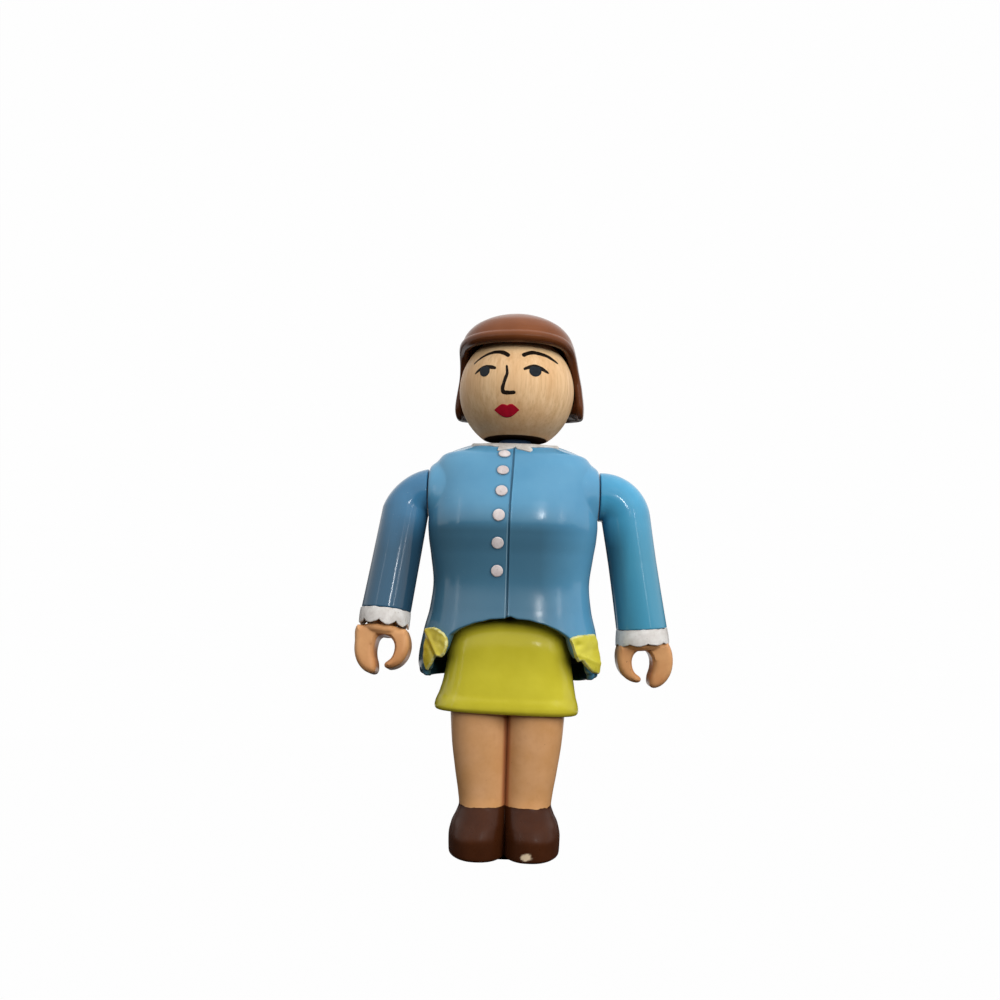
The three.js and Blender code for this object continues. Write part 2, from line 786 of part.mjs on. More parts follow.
function hand(side) {
  const shape = new THREE.Shape();
  shape.moveTo(...CLAMP_START);
  CLAMP_CURVES.forEach((curve) => shape.bezierCurveTo(...curve));
  const clamp = new THREE.ExtrudeGeometry(shape, {
    depth: HAND.thickness - 2 * HAND.bevel,
    curveSegments: HAND.curveFacets,
    bevelThickness: HAND.bevel,
    bevelSize: HAND.bevelInset,
    bevelOffset: -HAND.bevelInset,
    bevelSegments: 2,
  });
  clamp.rotateX(Math.PI / 2);
  clamp.translate(0, HAND.thickness / 2 - HAND.bevel, 0);
  const wristTop = CUFF.lip - GAP;
  const wrist = rod("z", HAND.wristRadius, wristTop - HAND.wrist, wristTop, {}, HAND.facets);
  const peg = rod("z", HAND.pegRadius, 0, HAND.peg, {}, HAND.facets);
  const belowCuff = block(-FAR, FAR, -FAR, FAR, -FAR, -GAP);
  const body = solid(clamp).intersect(belowCuff).add(wrist).add(peg);
  const out = CUFF.length + armOf(side).handOut;
  return toSide(atWrist(body.translate([0, 0, -out]), side), side);
}

function arm(side, name) {
  const group = new THREE.Group();
  group.add(piece(`${name}_sleeve`, sleeve(side), MATERIALS.jacket));
  group.add(piece(`${name}_cuff`, cuff(side), MATERIALS.cuff));
  group.add(piece(`${name}_hand`, hand(side), MATERIALS.skin));
  group.position.z = shoulderZ;
  group.rotation.x = armOf(side).swing * DEGREE;
  return group;
}

// Rings of the skirt, shrunk by an amount for its hollow: flared below the axle, a barrel above.
function skirtRings(inset) {
  const rings = [];
  const hem = HIP.height - SKIRT.drop;
  const radius = SKIRT.barrelRadius - inset;
  const heights = [0, SKIRT.rimHeight / SKIRT.drop, 0.25, 0.5, 0.75];
  for (const t of heights) {
    const spread = (1 - t) ** SKIRT.flare;
    const less = inset + (t === 0 ? SKIRT.rim : 0);
    rings.push({
      half: THREE.MathUtils.lerp(SKIRT.hipHalf, SKIRT.hemHalf, spread) - less,
      front: THREE.MathUtils.lerp(SKIRT.barrelRadius, SKIRT.hemFront, spread) - less,
      back: THREE.MathUtils.lerp(SKIRT.barrelRadius, SKIRT.hemBack, spread) - less,
      z: hem + t * SKIRT.drop,
    });
  }
  const barrelSteps = 7;
  for (let i = 0; i <= barrelSteps; i++) {
    const angle = (i / barrelSteps) * SKIRT.barrelEnd * DEGREE;
    const depth = radius * Math.cos(angle);
    const narrow = (SKIRT.hipHalf - SKIRT.topHalf) * (1 - Math.cos(angle)) ** SKIRT.narrowing;
    rings.push({
      half: SKIRT.hipHalf - inset - narrow,
      front: depth,
      back: depth,
      z: HIP.height + radius * Math.sin(angle),
    });
  }
  return rings;
}

function skirt() {
  const toRings = (rows, facets) => rows.map((row) => ovalRing(row, SKIRT.squareness, facets));
  const outer = loft(toRings(skirtRings(0), SKIRT.facets));
  const inside = skirtRings(SKIRT.wall);
  inside[0] = { ...inside[1], z: inside[0].z - PAST };
  const hollow = loft(toRings(inside, SKIRT.hollowFacets));
  const bores = rod("x", HIP.pinRadius + GAP, -hipPinEnd, hipPinEnd, { z: HIP.height });
  return piece("skirt", outer.subtract(hollow).subtract(bores), MATERIALS.skirt);
}

// Both legs and shoes in one moulding, with the hub that the axle passes through.
function legs() {
  const oneLeg = LEG_STATIONS.map(({ z, half, front, back }) =>
    ovalRing({ half, front, back, z, x: half - LEGS.join }, LEGS.squareness, LEGS.facets),
  );
  const pair = bothSides(loft(oneLeg));
  const { hubHalf, hubRadius } = LEGS;
  const hub = rod("x", hubRadius, -hubHalf, hubHalf, { z: HIP.height }, LEGS.hubFacets);
  const under = block(-hubHalf, hubHalf, -hubRadius, hubRadius, LEGS.hubBottom, HIP.height);
  const bore = rod("x", HIP.pinRadius + GAP, -hipPinEnd, hipPinEnd, { z: HIP.height });
  return piece("legs", pair.add(hub).add(under).subtract(bore), MATERIALS.skin);
}

function hipAxle() {
  const pin = rod("x", HIP.pinRadius, -hipPinEnd, hipPinEnd, { z: HIP.height });
  return piece("hip_axle", pin, MATERIALS.steel);
}

function headGroup() {
  const group = new THREE.Group();
  group.add(headBall());
  group.add(hairCap());
  group.position.z = headZ;
  group.rotation.z = HEAD.turn * DEGREE;
  return group;
}

const figure = new THREE.Group();
figure.add(...torsoShells());
figure.add(neckPin());
figure.add(headGroup());
figure.add(arm(LEFT, "left"), arm(RIGHT, "right"));
figure.add(skirt(), legs(), hipAxle());

export default figure;
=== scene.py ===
import bisect
import math

import bmesh
import bpy
from mathutils import Matrix, Vector, noise


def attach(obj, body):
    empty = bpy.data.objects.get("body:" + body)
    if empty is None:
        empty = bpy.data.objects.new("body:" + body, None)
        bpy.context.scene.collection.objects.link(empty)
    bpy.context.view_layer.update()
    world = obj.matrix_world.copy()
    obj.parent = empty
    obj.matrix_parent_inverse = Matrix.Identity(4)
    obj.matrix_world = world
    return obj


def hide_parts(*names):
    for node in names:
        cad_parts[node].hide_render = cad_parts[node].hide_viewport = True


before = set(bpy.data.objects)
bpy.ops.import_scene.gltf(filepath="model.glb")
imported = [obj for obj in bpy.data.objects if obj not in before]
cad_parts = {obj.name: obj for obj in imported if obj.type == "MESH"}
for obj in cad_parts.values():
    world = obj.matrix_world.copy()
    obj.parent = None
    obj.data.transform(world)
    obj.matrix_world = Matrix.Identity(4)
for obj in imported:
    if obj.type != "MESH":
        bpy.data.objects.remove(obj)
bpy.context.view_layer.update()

# Sizes are in millimetres and are scaled to metres when a mesh is made.
MM = 0.001
GAP = 0.3

# The jacket: height above its back hem, half width, depth in front and depth behind.
JACKET_HEM = 38.6
JACKET_STATIONS = (
    (0, 18.7, 10.2, 11),
    (1.2, 19.7, 10.9, 11.6),
    (3.6, 20.1, 11.2, 11.8),
    (10.4, 19.1, 10.6, 10.9),
    (15.4, 17.9, 9.7, 9.9),
    (20.9, 17.3, 9.2, 9.2),
    (27, 18, 9.9, 9.4),
    (31, 18.6, 10.9, 9.7),
    (34, 18.8, 11.45, 9.8),
    (38.4, 18.5, 11.05, 9.7),
    (43, 18.1, 9.9, 9.1),
    (46.4, 17.6, 8.8, 8.3),
    (48.8, 16.2, 7.7, 7.4),
    (50.6, 13.2, 6.6, 6.6),
    (51.6, 10.6, 5.9, 6),
    (52, 9.2, 5.5, 5.7),
)
JACKET = {
    "wall": 1.5,
    "squareness": 2.4,
    "top": 52,
    "inner_top": 45.6,
    "roof_inset": 4,
    "lip": 0.35,
    "dip": 0.85,
    "hem_drop": 0.8,
}
# Half outline of the open front: distance from the middle, height above the back hem.
OPENING = (
    (0, 14),
    (1.3, 13.5),
    (4, 13.3),
    (8, 12.3),
    (11, 11),
    (13, 9.6),
    (13.4, 8),
    (13.7, 6.2),
    (14.6, 4.6),
    (16.4, 4.4),
    (17.4, 2.8),
    (18.4, 1.6),
    (18.8, 0),
)
GROOVE = {"half": 0.25, "depth": 0.3, "top_x": -0.2, "chest_x": -0.78, "top": 51, "chest": 34}
BUTTON = {"radius": 1.27, "height": 0.35, "sunk": 0.12, "ring": 0.6}
# Each button: place across, height above the hem, and its height as a share of its width.
BUTTON_PLACES = (
    (-2.2, 48.7, 0.7),
    (-2.4, 45, 0.82),
    (-2.55, 40.5, 0.93),
    (-2.95, 35.3, 1),
    (-3.05, 29.5, 1),
    (-3.05, 23.6, 1),
)

COLLAR = {
    "half": 9.7,
    "depth": 6.2,
    "height": 0.3,
    "sunk": 0.15,
    "fade": 0.4,
    "lowest": 46,
    "highest": 51.98,
    "turn_in": 51.9,
}
# The collar's lower edge in front, on each side: distance from the middle, height above the hem.
COLLAR_EDGE_LEFT = ((0, 51.15), (0.22, 51), (0.55, 50.7), (3.35, 49.5), (3.62, 49.5), (4.34, 51.2))
COLLAR_EDGE_RIGHT = (
    (0, 51.15),
    (0.22, 51),
    (0.45, 50.5),
    (3.1, 49.3),
    (3.6, 49.6),
    (4.25, 50.2),
    (4.4, 51.3),
)

# The turned-back corners: each edge from the inner end to the outer, as distance from the middle
# and height above the ground.
FLAPS = {
    "right": {
        "top": (
            (13, 46.9),
            (13.25, 47.8),
            (13.8, 48.5),
            (15.2, 49.5),
            (16.3, 49.8),
            (17.5, 49.5),
            (18.2, 43.8),
        ),
        "bottom": (
            (13, 46),
            (13.7, 44.1),
            (14.3, 43.5),
            (15.7, 43.5),
            (16.4, 42),
            (17.3, 40.5),
            (18.2, 42.6),
        ),
    },
    "left": {
        "top": ((12.8, 48.3), (14.3, 48.9), (18.05, 49.2), (18.7, 47.2), (19.5, 42.8)),
        "bottom": (
            (12.8, 47.8),
            (13.4, 46.5),
            (14, 44.2),
            (14.7, 43.4),
            (15.6, 43.3),
            (16.9, 41.8),
            (18, 40.8),
            (19.1, 40.5),
            (19.5, 41.4),
        ),
    },
}
FLAP = {"thickness": 0.75, "edge": 0.08, "rounding": 0.35, "ragged": 0.15}

NECK = {
    "radius": 3.7,
    "flange": 5.2,
    "bottom": 84.1,
    "flange_top": 85.9,
    "bore": 4,
    "mouth": 4.6,
    "mouth_depth": 1.1,
}
NECK_TOP = 91.5
SPIGOT = {"radius": 2.4, "top": 97.2}

HEAD = {"radius": 12.7, "z": 102.1, "flat_radius": 7, "turn": -9.5}
# Painted lines on the ball: across and up from its middle, and the line's width.
FACE_STROKES = {
    "brow_right": (
        (-7.9, 4.2, 0.3),
        (-6.7, 5.05, 0.45),
        (-4.9, 5.9, 0.6),
        (-2.8, 6.3, 0.8),
        (-1.1, 6, 0.95),
        (0.3, 5.1, 0.8),
    ),
    "brow_left": (
        (2.9, 5.25, 0.85),
        (3.9, 5.9, 0.95),
        (5.2, 6.25, 0.9),
        (7.4, 5.95, 0.75),
        (8.7, 5.4, 0.6),
        (9.9, 4.7, 0.3),
    ),
    "lid_right": (
        (-7.3, 1.8, 0.35),
        (-6.4, 2.45, 0.65),
        (-5.1, 2.9, 0.9),
        (-3.7, 2.85, 0.85),
        (-2.4, 2.45, 0.55),
    ),
    "lid_left": (
        (3.4, 2.2, 0.45),
        (4.3, 2.65, 0.75),
        (5.5, 3, 0.95),
        (6.9, 2.7, 0.85),
        (8.4, 1.9, 0.35),
    ),
    "nose": (
        (-0.15, 3.1, 0.42),
        (0.05, 1.4, 0.62),
        (-0.25, 0.3, 0.7),
        (-0.6, -0.8, 0.7),
        (-0.85, -1.9, 0.76),
        (-0.62, -2.55, 0.82),
        (0.4, -2.7, 0.78),
        (1.9, -2.6, 0.7),
    ),
}
PAINT_LIFT = {"stroke": 0.05, "patch": 0.055, "sunk": -0.08}
# The pupils: across and up from the ball's middle, and their radius.
PUPILS = {"right": (-4.95, 2.05, 1.15), "left": (5.75, 2.05, 1.2)}
LIP_TOP = (
    (-2.8, -5.95),
    (-1.9, -5.35),
    (-0.95, -4.9),
    (-0.4, -4.98),
    (0.05, -5.15),
    (0.5, -4.98),
    (1, -4.9),
    (1.8, -5.35),
    (2.55, -6),
)
LIP_BOTTOM = (
    (-2.8, -6),
    (-2.1, -6.6),
    (-1.2, -7.2),
    (-0.2, -7.45),
    (0.6, -7.35),
    (1.4, -6.95),
    (2.1, -6.4),
    (2.55, -6.05),
)

# The hair: height above the middle of the head, half width, depth in front and depth behind.
HAIR_STATIONS = (
    (-6.6, 13.7, 13.4, 13.7),
    (-5.6, 14.4, 14, 14.5),
    (-3, 14.7, 14.2, 14.9),
    (1, 14.25, 14, 14.8),
    (5, 13.5, 13.5, 14.3),
    (9, 12.75, 12.7, 13.2),
    (11.4, 11.9, 11.7, 12.2),
    (13.4, 10.3, 10.2, 10.7),
    (15, 7.8, 7.8, 8.3),
    (16.2, 4.7, 4.8, 5.2),
    (16.8, 1.8, 1.9, 2.1),
)
HAIR = {"squareness": 2.15, "hollow": 13, "top": 16.95, "set_back": 4}
# The hair's edge, from the middle of the fringe to the nape: angle from the front, height of the
# middle of the rolled edge, radius of the roll, and how far the roll stands out of the surface.
HAIR_EDGE = (
    (0, 9.25, 1.25, 0.6),
    (30, 9.3, 1.25, 0.6),
    (55, 9.2, 1.2, 0.5),
    (70, 8.6, 1.1, 0.3),
    (78, 7.4, 1, 0.12),
    (82, 5.4, 0.85, 0.03),
    (84, 2.5, 0.8, 0),
    (84.5, -1, 0.8, 0),
    (85.5, -3.2, 0.8, 0),
    (90, -4.35, 0.75, 0),
    (98, -4.5, 0.65, 0),
    (120, -4, 0.6, 0),
    (150, -3.5, 0.6, 0),
    (180, -3.4, 0.6, 0),
)

SLEEVE = {
    "shoulder_z": 79.4,
    "seat_x": 18.6,
    "pad": 5.4,
    "pad_blend": 1.8,
    "wrist_lean": 4.4,
    "elbow_radius": 5.25,
    "elbow_at": 0.4,
}
# Each arm: degrees that it leans out and that it swings at rest, its straight start, the radius of
# its bend, how far the outside of the bend is flattened, its length below the bend, its radius at
# the shoulder and the wrist, the cuff's radius at the hem, how far its hand stands out of the cuff,
# the hand's width as a share of the drawn one and how far its fingers stand in towards the body.
ARMS = {
    "left": {
        "lean": 9.8,
        "swing": 0,
        "lead": 0.6,
        "bend": 5.7,
        "flattening": 0,
        "length": 24.6,
        "shoulder_radius": 5.4,
        "end_radius": 5.6,
        "hem_radius": 5.95,
        "hand_out": 0,
        "hand_width": 1,
        "hand_shift": 0,
    },
    "right": {
        "lean": 7.8,
        "swing": -10,
        "lead": 0,
        "bend": 5.15,
        "flattening": 0.17,
        "length": 22.55,
        "shoulder_radius": 5.2,
        "end_radius": 5.4,
        "hem_radius": 5.45,
        "hand_out": 0.9,
        "hand_width": 0.95,
        "hand_shift": 0.6,
    },
}
CUFF = {"length": 3.6, "lip": 1.2, "wall": 0.45, "scallops": 9, "bore": 4.4}

HAND = {"thickness": 7.2, "bevel": 1.35, "wrist_gap": 0.4, "wrist": 1.9, "peg_radius": 2.6, "peg": 6.2}
HAND_JOIN = {"voxel": 0.13, "passes": 12}
CLAMP_DROP = 3.6
CLAMP_START = (5.2, 0.6)
# The clamp's outline, seen from the front: two control points and an end for each curve.
CLAMP_CURVES = (
    ((6.3, -1), (6.5, -3.4), (6, -5.4)),
    ((5.5, -7.6), (3.6, -9.4), (1.9, -9.5)),
    ((1, -9.5), (0.7, -8.9), (0.75, -8.2)),
    ((0.8, -7.4), (0.9, -6.9), (1.3, -6.1)),
    ((2.1, -4.2), (1.9, -1.1), (-0.5, -1)),
    ((-2.9, -1.1), (-3.3, -4), (-2.4, -5.7)),
    ((-1.9, -6.5), (-1.1, -6.7), (-1, -7.3)),
    ((-0.95, -8), (-1.6, -8.2), (-2.2, -8.1)),
    ((-4.2, -7.8), (-5.8, -5.9), (-6, -3.9)),
    ((-6.2, -2.2), (-6, -0.6), (-5.2, 0.6)),
)

HIP_Z = 43.5
SKIRT = {
    "drop": 12,
    "wall": 1.3,
    "barrel": 8,
    "hip_half": 13.75,
    "top_half": 8.9,
    "hem_half": 16.1,
    "hem_front": 8.5,
    "hem_back": 8.9,
    "flare": 1.3,
    "narrowing": 1.2,
    "barrel_end": 84,
    "barrel_top": 9.2,
    "barrel_power": 2.7,
    "rim": 0.16,
    "rim_height": 1.7,
    "rim_turn": 0.9,
    "squareness": 3.1,
    "right_flare": 0.6,
    "hem_tilt": 0.35,
}

# Legs and shoes: height, half width of one leg, depth in front and depth behind.
LEG_STATIONS = (
    (0, 5.95, 9, 5.9),
    (0.8, 6.3, 9.5, 6.3),
    (4, 6.35, 9.5, 6.4),
    (6.6, 6.1, 8.7, 6.1),
    (8.8, 5.6, 7, 5.6),
    (10.8, 5.3, 5.7, 5.2),
    (13, 5.42, 5.4, 5.2),
    (18, 5.82, 5.7, 5.5),
    (25, 6.3, 6.1, 5.9),
    (33, 6.6, 6.3, 6.1),
)
LEGS = {"join": 0.35, "squareness": 2.3, "sole_edge": 0.5, "top": 33}
HUB = {"half": 8.5, "radius": 5.6, "bottom": 32.9, "edge": 0.4}
SHOES = {"height": 10.9, "chip_x": 4.9, "chip_z": 1.5}

# The floor in mm: its near end, where it bends up and by which radius, half its width, the top of
# the backdrop and how far it lies under the soles.
FLOOR = {"near": -900, "bend_at": 500, "bend": 200, "half": 900, "top": 1200, "below": 0.05}

# Lamps, cards and camera are in metres.
LAMPS = {
    "key_right": {"at": (0.34, -0.4, 0.36), "size": (0.45, 0.45), "watts": 3.6},
    "overhead": {"at": (0, 0.02, 0.6), "size": (0.5, 0.5), "watts": 1.9},
    "fill_left": {"at": (-0.3, -0.42, 0.25), "size": (0.4, 0.4), "watts": 0.75},
}
# Small lamps that show as highlights on the glossy plastic.
MIRRORED_LAMPS = {
    "strip_left": {"at": (-0.42, -0.4, 0.16), "size": (0.02, 0.3), "watts": 0.06},
    "strip_right": {"at": (0.36, -0.46, 0.13), "size": (0.02, 0.22), "watts": 0.12},
    "window_right": {"at": (0.15, -0.5, 0.2), "size": (0.025, 0.07), "watts": 0.16},
}
LAMP_TARGET = (0, 0, 0.06)
WORLD_STRENGTH = 0.22
CARDS = {"front": -0.45, "back": 0.35, "floor_back": 0.12, "half": 0.9, "top": 0.17}
CAMERA = {
    "at": (0.0013, -0.19, 0.0587),
    "roll": -1.64,
    "lens": 30.67,
    "sensor": 36,
    "shift_x": -0.017,
    "shift_y": 0.088,
    "nearest": 0.01,
}


# Numbers and curves


def lerp(a, b, t):
    return a + (b - a) * t


def clamp(value, low=0.0, high=1.0):
    return max(low, min(high, value))


def smoothstep(low, high, value):
    t = clamp((value - low) / (high - low))
    return t * t * (3 - 2 * t)


def spread(count, start=0.0, end=1.0):
    """Evenly spaced values from start to end, both included."""
    return [lerp(start, end, i / (count - 1)) for i in range(count)]


def full_turn(count):
    """Evenly spaced angles of a full turn."""
    return [2 * math.pi * i / count for i in range(count)]


def segment(table, at):
    """The table's row before a value of its first column, and how far on from it the value is."""
    keys = [row[0] for row in table]
    at = clamp(at, keys[0], keys[-1])
    i = min(max(bisect.bisect_right(keys, at) - 1, 0), len(keys) - 2)
    return i, (at - keys[i]) / (keys[i + 1] - keys[i])


def broken_line(points, at):
    """Height of a line through points, given as distance and height, at a distance."""
    i, t = segment(points, at)
    return lerp(points[i][1], points[i + 1][1], t)


def smooth_row(table, at):
    """Values of a table's other columns, along smooth curves that don't overshoot."""
    i, t = segment(table, at)
    near = table[max(i - 1, 0) : i + 3]
    width = table[i + 1][0] - table[i][0]
    row = []
    for column in range(1, len(table[0])):
        slopes = [(b[column] - a[column]) / (b[0] - a[0]) for a, b in zip(near, near[1:])]
        middle = slopes[min(i, 1)]
        before = joint_slope(slopes[0], middle) if i > 0 else middle
        after = joint_slope(middle, slopes[-1]) if i < len(table) - 2 else middle
        row.append(hermite(table[i][column], table[i + 1][column], before * width, after * width, t))
    return row


def joint_slope(one, other):
    if one * other <= 0:
        return 0.0
    return 2 * one * other / (one + other)


def hermite(a, b, slope_a, slope_b, t):
    t2, t3 = t * t, t * t * t
    start = (2 * t3 - 3 * t2 + 1) * a + (t3 - 2 * t2 + t) * slope_a
    return start + (3 * t2 - 2 * t3) * b + (t3 - t2) * slope_b


def curve_at(points, at):
    """Row of a smooth curve through rows of numbers, at a place counted in rows."""
    i = min(int(at), len(points) - 2)
    before, after = points[max(i - 1, 0)], points[min(i + 2, len(points) - 1)]
    a, b = points[i], points[i + 1]
    return [hermite(a[j], b[j], (b[j] - before[j]) / 2, (after[j] - a[j]) / 2, at - i) for j in range(len(a))]


def wobble(x, y, z, scale, seed=0.0):
    """Smooth noise from about -1 to 1 at a point in mm."""
    return noise.noise(Vector((x, y, z)) / scale + Vector((seed, 2 * seed, 3 * seed)))


def oval_point(angle, half, front, back, squareness):
    """Point on a squarish oval. Angle 0 is +X and 270 degrees is the front, -Y."""
    c, s = math.cos(angle), math.sin(angle)
    x = math.copysign(half * abs(c) ** (2 / squareness), c)
    depth = front if s < 0 else back
    return x, math.copysign(depth * abs(s) ** (2 / squareness), s)


def arc(center, radius, start, end, steps):
    """Points of an arc in a plane, by angles in degrees."""
    turns = [math.radians(a) for a in spread(steps, start, end)]
    return [(center[0] + radius * math.cos(a), center[1] + radius * math.sin(a)) for a in turns]


def turning(degrees, axis):
    return Matrix.Rotation(math.radians(degrees), 4, axis)


# Meshes


def add_object(name, data):
    item = bpy.data.objects.new(name, data)
    bpy.context.scene.collection.objects.link(item)
    return item


def piece(name, sweep, body, material, nodes=(), attributes=None):
    """A closed mesh from points in mm and faces, riding on a CAD body."""
    points, faces = sweep
    mesh = bpy.data.meshes.new(name)
    mesh.from_pydata([Vector(p) * MM for p in points], [], faces)
    for key, values in (attributes or {}).items():
        mesh.attributes.new(key, "FLOAT", "POINT").data.foreach_set("value", values)
    bm = bmesh.new()
    bm.from_mesh(mesh)
    bmesh.ops.remove_doubles(bm, verts=bm.verts, dist=1e-7)
    bmesh.ops.dissolve_degenerate(bm, edges=bm.edges, dist=1e-7)
    bmesh.ops.recalc_face_normals(bm, faces=bm.faces)
    for face in bm.faces:
        face.smooth = True
    bm.to_mesh(mesh)
    bm.free()
    mesh.materials.append(material)
    made = add_object(name, mesh)
    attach(made, body)
    if nodes:
        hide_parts(*nodes)
    return made


def side_faces(loops, closed=False):
    """Faces between loops of as many points each that stand side by side."""
    count = len(loops[0])
    faces = []
    for i in range(len(loops) if closed else len(loops) - 1):
        a, b = i * count, (i + 1) % len(loops) * count
        faces += [(a + j, b + j, b + (j + 1) % count, a + (j + 1) % count) for j in range(count)]
    return faces


def loop_sweep(loops, closed=False):
    """Points and faces of profile loops joined side by side, with open ends filled."""
    points = [p for loop in loops for p in loop]
    faces = side_faces(loops, closed)
    if not closed:
        count = len(loops[0])
        faces.append(tuple(range(count)))
        faces.append(tuple(len(points) - 1 - j for j in range(count)))
    return points, faces


def pole_sweep(columns):
    """Points and faces of open columns, all from one pole to another, that go right round."""
    rows = len(columns[0]) - 2
    points = [columns[0][0], columns[0][-1]]
    for column in columns:
        points.extend(column[1:-1])
    faces = []
    for i in range(len(columns)):
        a = 2 + i * rows
        b = 2 + (i + 1) % len(columns) * rows
        faces.append((0, a, b))
        faces += [(a + j, a + j + 1, b + j + 1, b + j) for j in range(rows - 1)]
        faces.append((a + rows - 1, 1, b + rows - 1))
    return points, faces


def turned(profile, count=96, place=Matrix.Identity(4)):
    """Points and faces of a profile of radius and height, from axis to axis, turned about Z."""
    return pole_sweep(
        [
            [tuple(place @ Vector((r * math.cos(a), r * math.sin(a), z))) for r, z in profile]
            for a in full_turn(count)
        ]
    )


# Materials


class Paint:
    """A material whose colour is built up in layers by procedural nodes."""

    def __init__(self, name):
        self.material = bpy.data.materials.new(name)
        self.material.use_nodes = True
        self.tree = self.material.node_tree
        self.shader = self.tree.nodes["Principled BSDF"]
        self.colour = self.gloss = self.normal = None

    def node(self, kind, inputs, output=0):
        """A new node and one of its outputs; inputs are set from numbers, colours or links."""
        made = self.tree.nodes.new("ShaderNode" + kind)
        for key, value in inputs.items():
            self.put(made.inputs[key], value)
        return made, made.outputs[output]

    def put(self, socket, value):
        if isinstance(value, (int, float, tuple)):
            socket.default_value = value
        else:
            self.tree.links.new(value, socket)

    def place(self):
        """The point on the piece, in metres."""
        return self.node("TexCoord", {}, "Object")[1]

    def along(self, axis):
        """Distance along X, Y or Z on the piece at rest, in mm."""
        return self.math("DIVIDE", self.node("SeparateXYZ", {0: self.place()}, axis)[1], MM)

    def stretched(self, x, y, z):
        return self.node("Mapping", {"Vector": self.place(), "Scale": (x, y, z)})[1]

    def noise(self, scale, detail=4, rough=0.55, vector=None):
        inputs = {"Scale": scale, "Detail": detail, "Roughness": rough, "Vector": vector or self.place()}
        return self.node("TexNoise", inputs, "Fac")[1]

    def ramp(self, value, *stops):
        """Colours or greys along a value; each stop is a position and a grey or a colour."""
        made, colour = self.node("ValToRGB", {"Fac": value}, "Color")
        elements = made.color_ramp.elements
        while len(elements) < len(stops):
            elements.new(0.5)
        for element, (position, shade) in zip(elements, stops):
            element.position = position
            element.color = shade if isinstance(shade, tuple) else (shade, shade, shade, 1)
        return colour

    def span(self, value, low, high, to_low=0.0, to_high=1.0):
        inputs = {"Value": value, "From Min": low, "From Max": high, "To Min": to_low, "To Max": to_high}
        return self.node("MapRange", inputs, "Result")[1]

    def math(self, operation, one, other):
        made, value = self.node("Math", {0: one, 1: other})
        made.operation = operation
        return value

    def mix(self, share, one, other):
        """Mixes two colours by a share."""
        made = self.tree.nodes.new("ShaderNodeMix")
        made.data_type = "RGBA"
        for key, value in ((0, share), (6, one), (7, other)):
            self.put(made.inputs[key], value)
        return made.outputs[2]

    def attribute(self, key):
        made, share = self.node("Attribute", {}, "Fac")
        made.attribute_name = key
        return share

    def bump(self, height, strength, distance=0.0001, over=None):
        inputs = {"Height": height, "Strength": strength, "Distance": distance}
        if over:
            inputs["Normal"] = over
        return self.node("Bump", inputs, "Normal")[1]

    def shades(self, scale, deep, main, detail=4, high=0.7):
        """Slow changes between two shades."""
        return self.mix(self.span(self.noise(scale, detail), 0.35, high), rgb(deep), rgb(main))

    def specks(self, scale, detail, rough, low, high, share):
        """Share of a colour that shows only in small specks."""
        return self.span(self.ramp(self.noise(scale, detail, rough), (low, 0.0), (high, 1.0)), 0, 1, 0, share)

    def tint(self, share, code):
        """Lays another colour over the colour so far."""
        self.colour = self.mix(share, self.colour, rgb(code))

    def tint_where(self, key, share, code):
        """Lays a colour where the mesh's own attribute is above nought."""
        self.tint(self.math("MULTIPLY", self.attribute(key), share), code)

    def done(self, **values):
        """The material, with its colour, gloss and normal, and other sockets by their names."""
        sockets = {"Base Color": self.colour, "Roughness": self.gloss, "Normal": self.normal}
        for key, value in values.items():
            sockets[key.replace("_", " ")] = value
        for key, value in sockets.items():
            if value is not None:
                self.put(self.shader.inputs[key], value)
        return self.material


def rgb(code):
    """Linear colour from a six-digit colour code."""
    parts = [int(code[i : i + 2], 16) / 255 for i in (0, 2, 4)]
    return tuple([p / 12.92 if p <= 0.04045 else ((p + 0.055) / 1.055) ** 2.4 for p in parts] + [1.0])


def gloss_paint(name, main, deep, worn, low=0.12, high=0.24):
    """Glossy moulded plastic with slow shade changes, fine scuffs and a little dirt."""
    n = Paint(name)
    n.colour = n.shades(90, deep, main, 3)
    n.tint(n.specks(1900, 2, 0.5, 0.72, 0.76, 0.2), worn)
    n.gloss = n.span(n.noise(260, 6, 0.65), 0.3, 0.75, low, high)
    n.normal = n.bump(n.noise(900, 3, 0.5), 0.05)
    return n


def jacket_material():
    """Jacket blue with painted shade below the chest, a dark inside, painted shade in the groove and round
    the buttons, and a painted highlight on the lip beside the groove.
    """
    n = gloss_paint("jacket_blue", "5b98ba", "508eb2", "9cc4dc")
    # Painted shade below the chest, strongest from the middle to the figure's right and light on the figure's
    # left.
    low = n.span(n.along("Z"), JACKET_HEM + 38, JACKET_HEM + 32)
    n.tint(n.math("MULTIPLY", low, n.span(n.along("X"), 6, 15, 0.68, 0.12)), "36515f")
    n.tint(n.attribute("inside"), "2c4f58")
    # Painted shade round each button.
    n.tint_where("ring", 0.5, "2f5268")
    # Painted shade in the groove of the opening.
    n.tint_where("front_groove_shade", 0.75, "2c4b5e")
    # Painted highlight on the lip beside the groove.
    n.tint_where("lip", 0.5, "9dbccb")
    return n.done()


def sleeve_material(name, main, deep, low):
    """Jacket blue that is duller towards the cuff, with painted shade on the side towards the body."""
    n = gloss_paint(name, main, deep, "a6cbe0", 0.08, 0.17)
    n.tint(n.span(n.along("Z"), 78, 66), low)
    # Painted shade on the side towards the body, below the shoulder.
    near = n.span(n.math("ABSOLUTE", n.along("X"), 0), 25.5, 22, 0, 0.6)
    n.tint(n.math("MULTIPLY", near, n.span(n.along("Z"), 74, 68)), "1b2b38")
    return n.done()


def white_material(name, main, deep):
    n = Paint(name)
    n.colour = n.shades(420, deep, main)
    n.tint(n.specks(1300, 3, 0.6, 0.6, 0.72, 0.4), "8d8378")
    n.gloss = n.span(n.noise(600), 0.3, 0.7, 0.25, 0.42)
    n.normal = n.bump(n.noise(1500, 3), 0.12)
    return n.done()


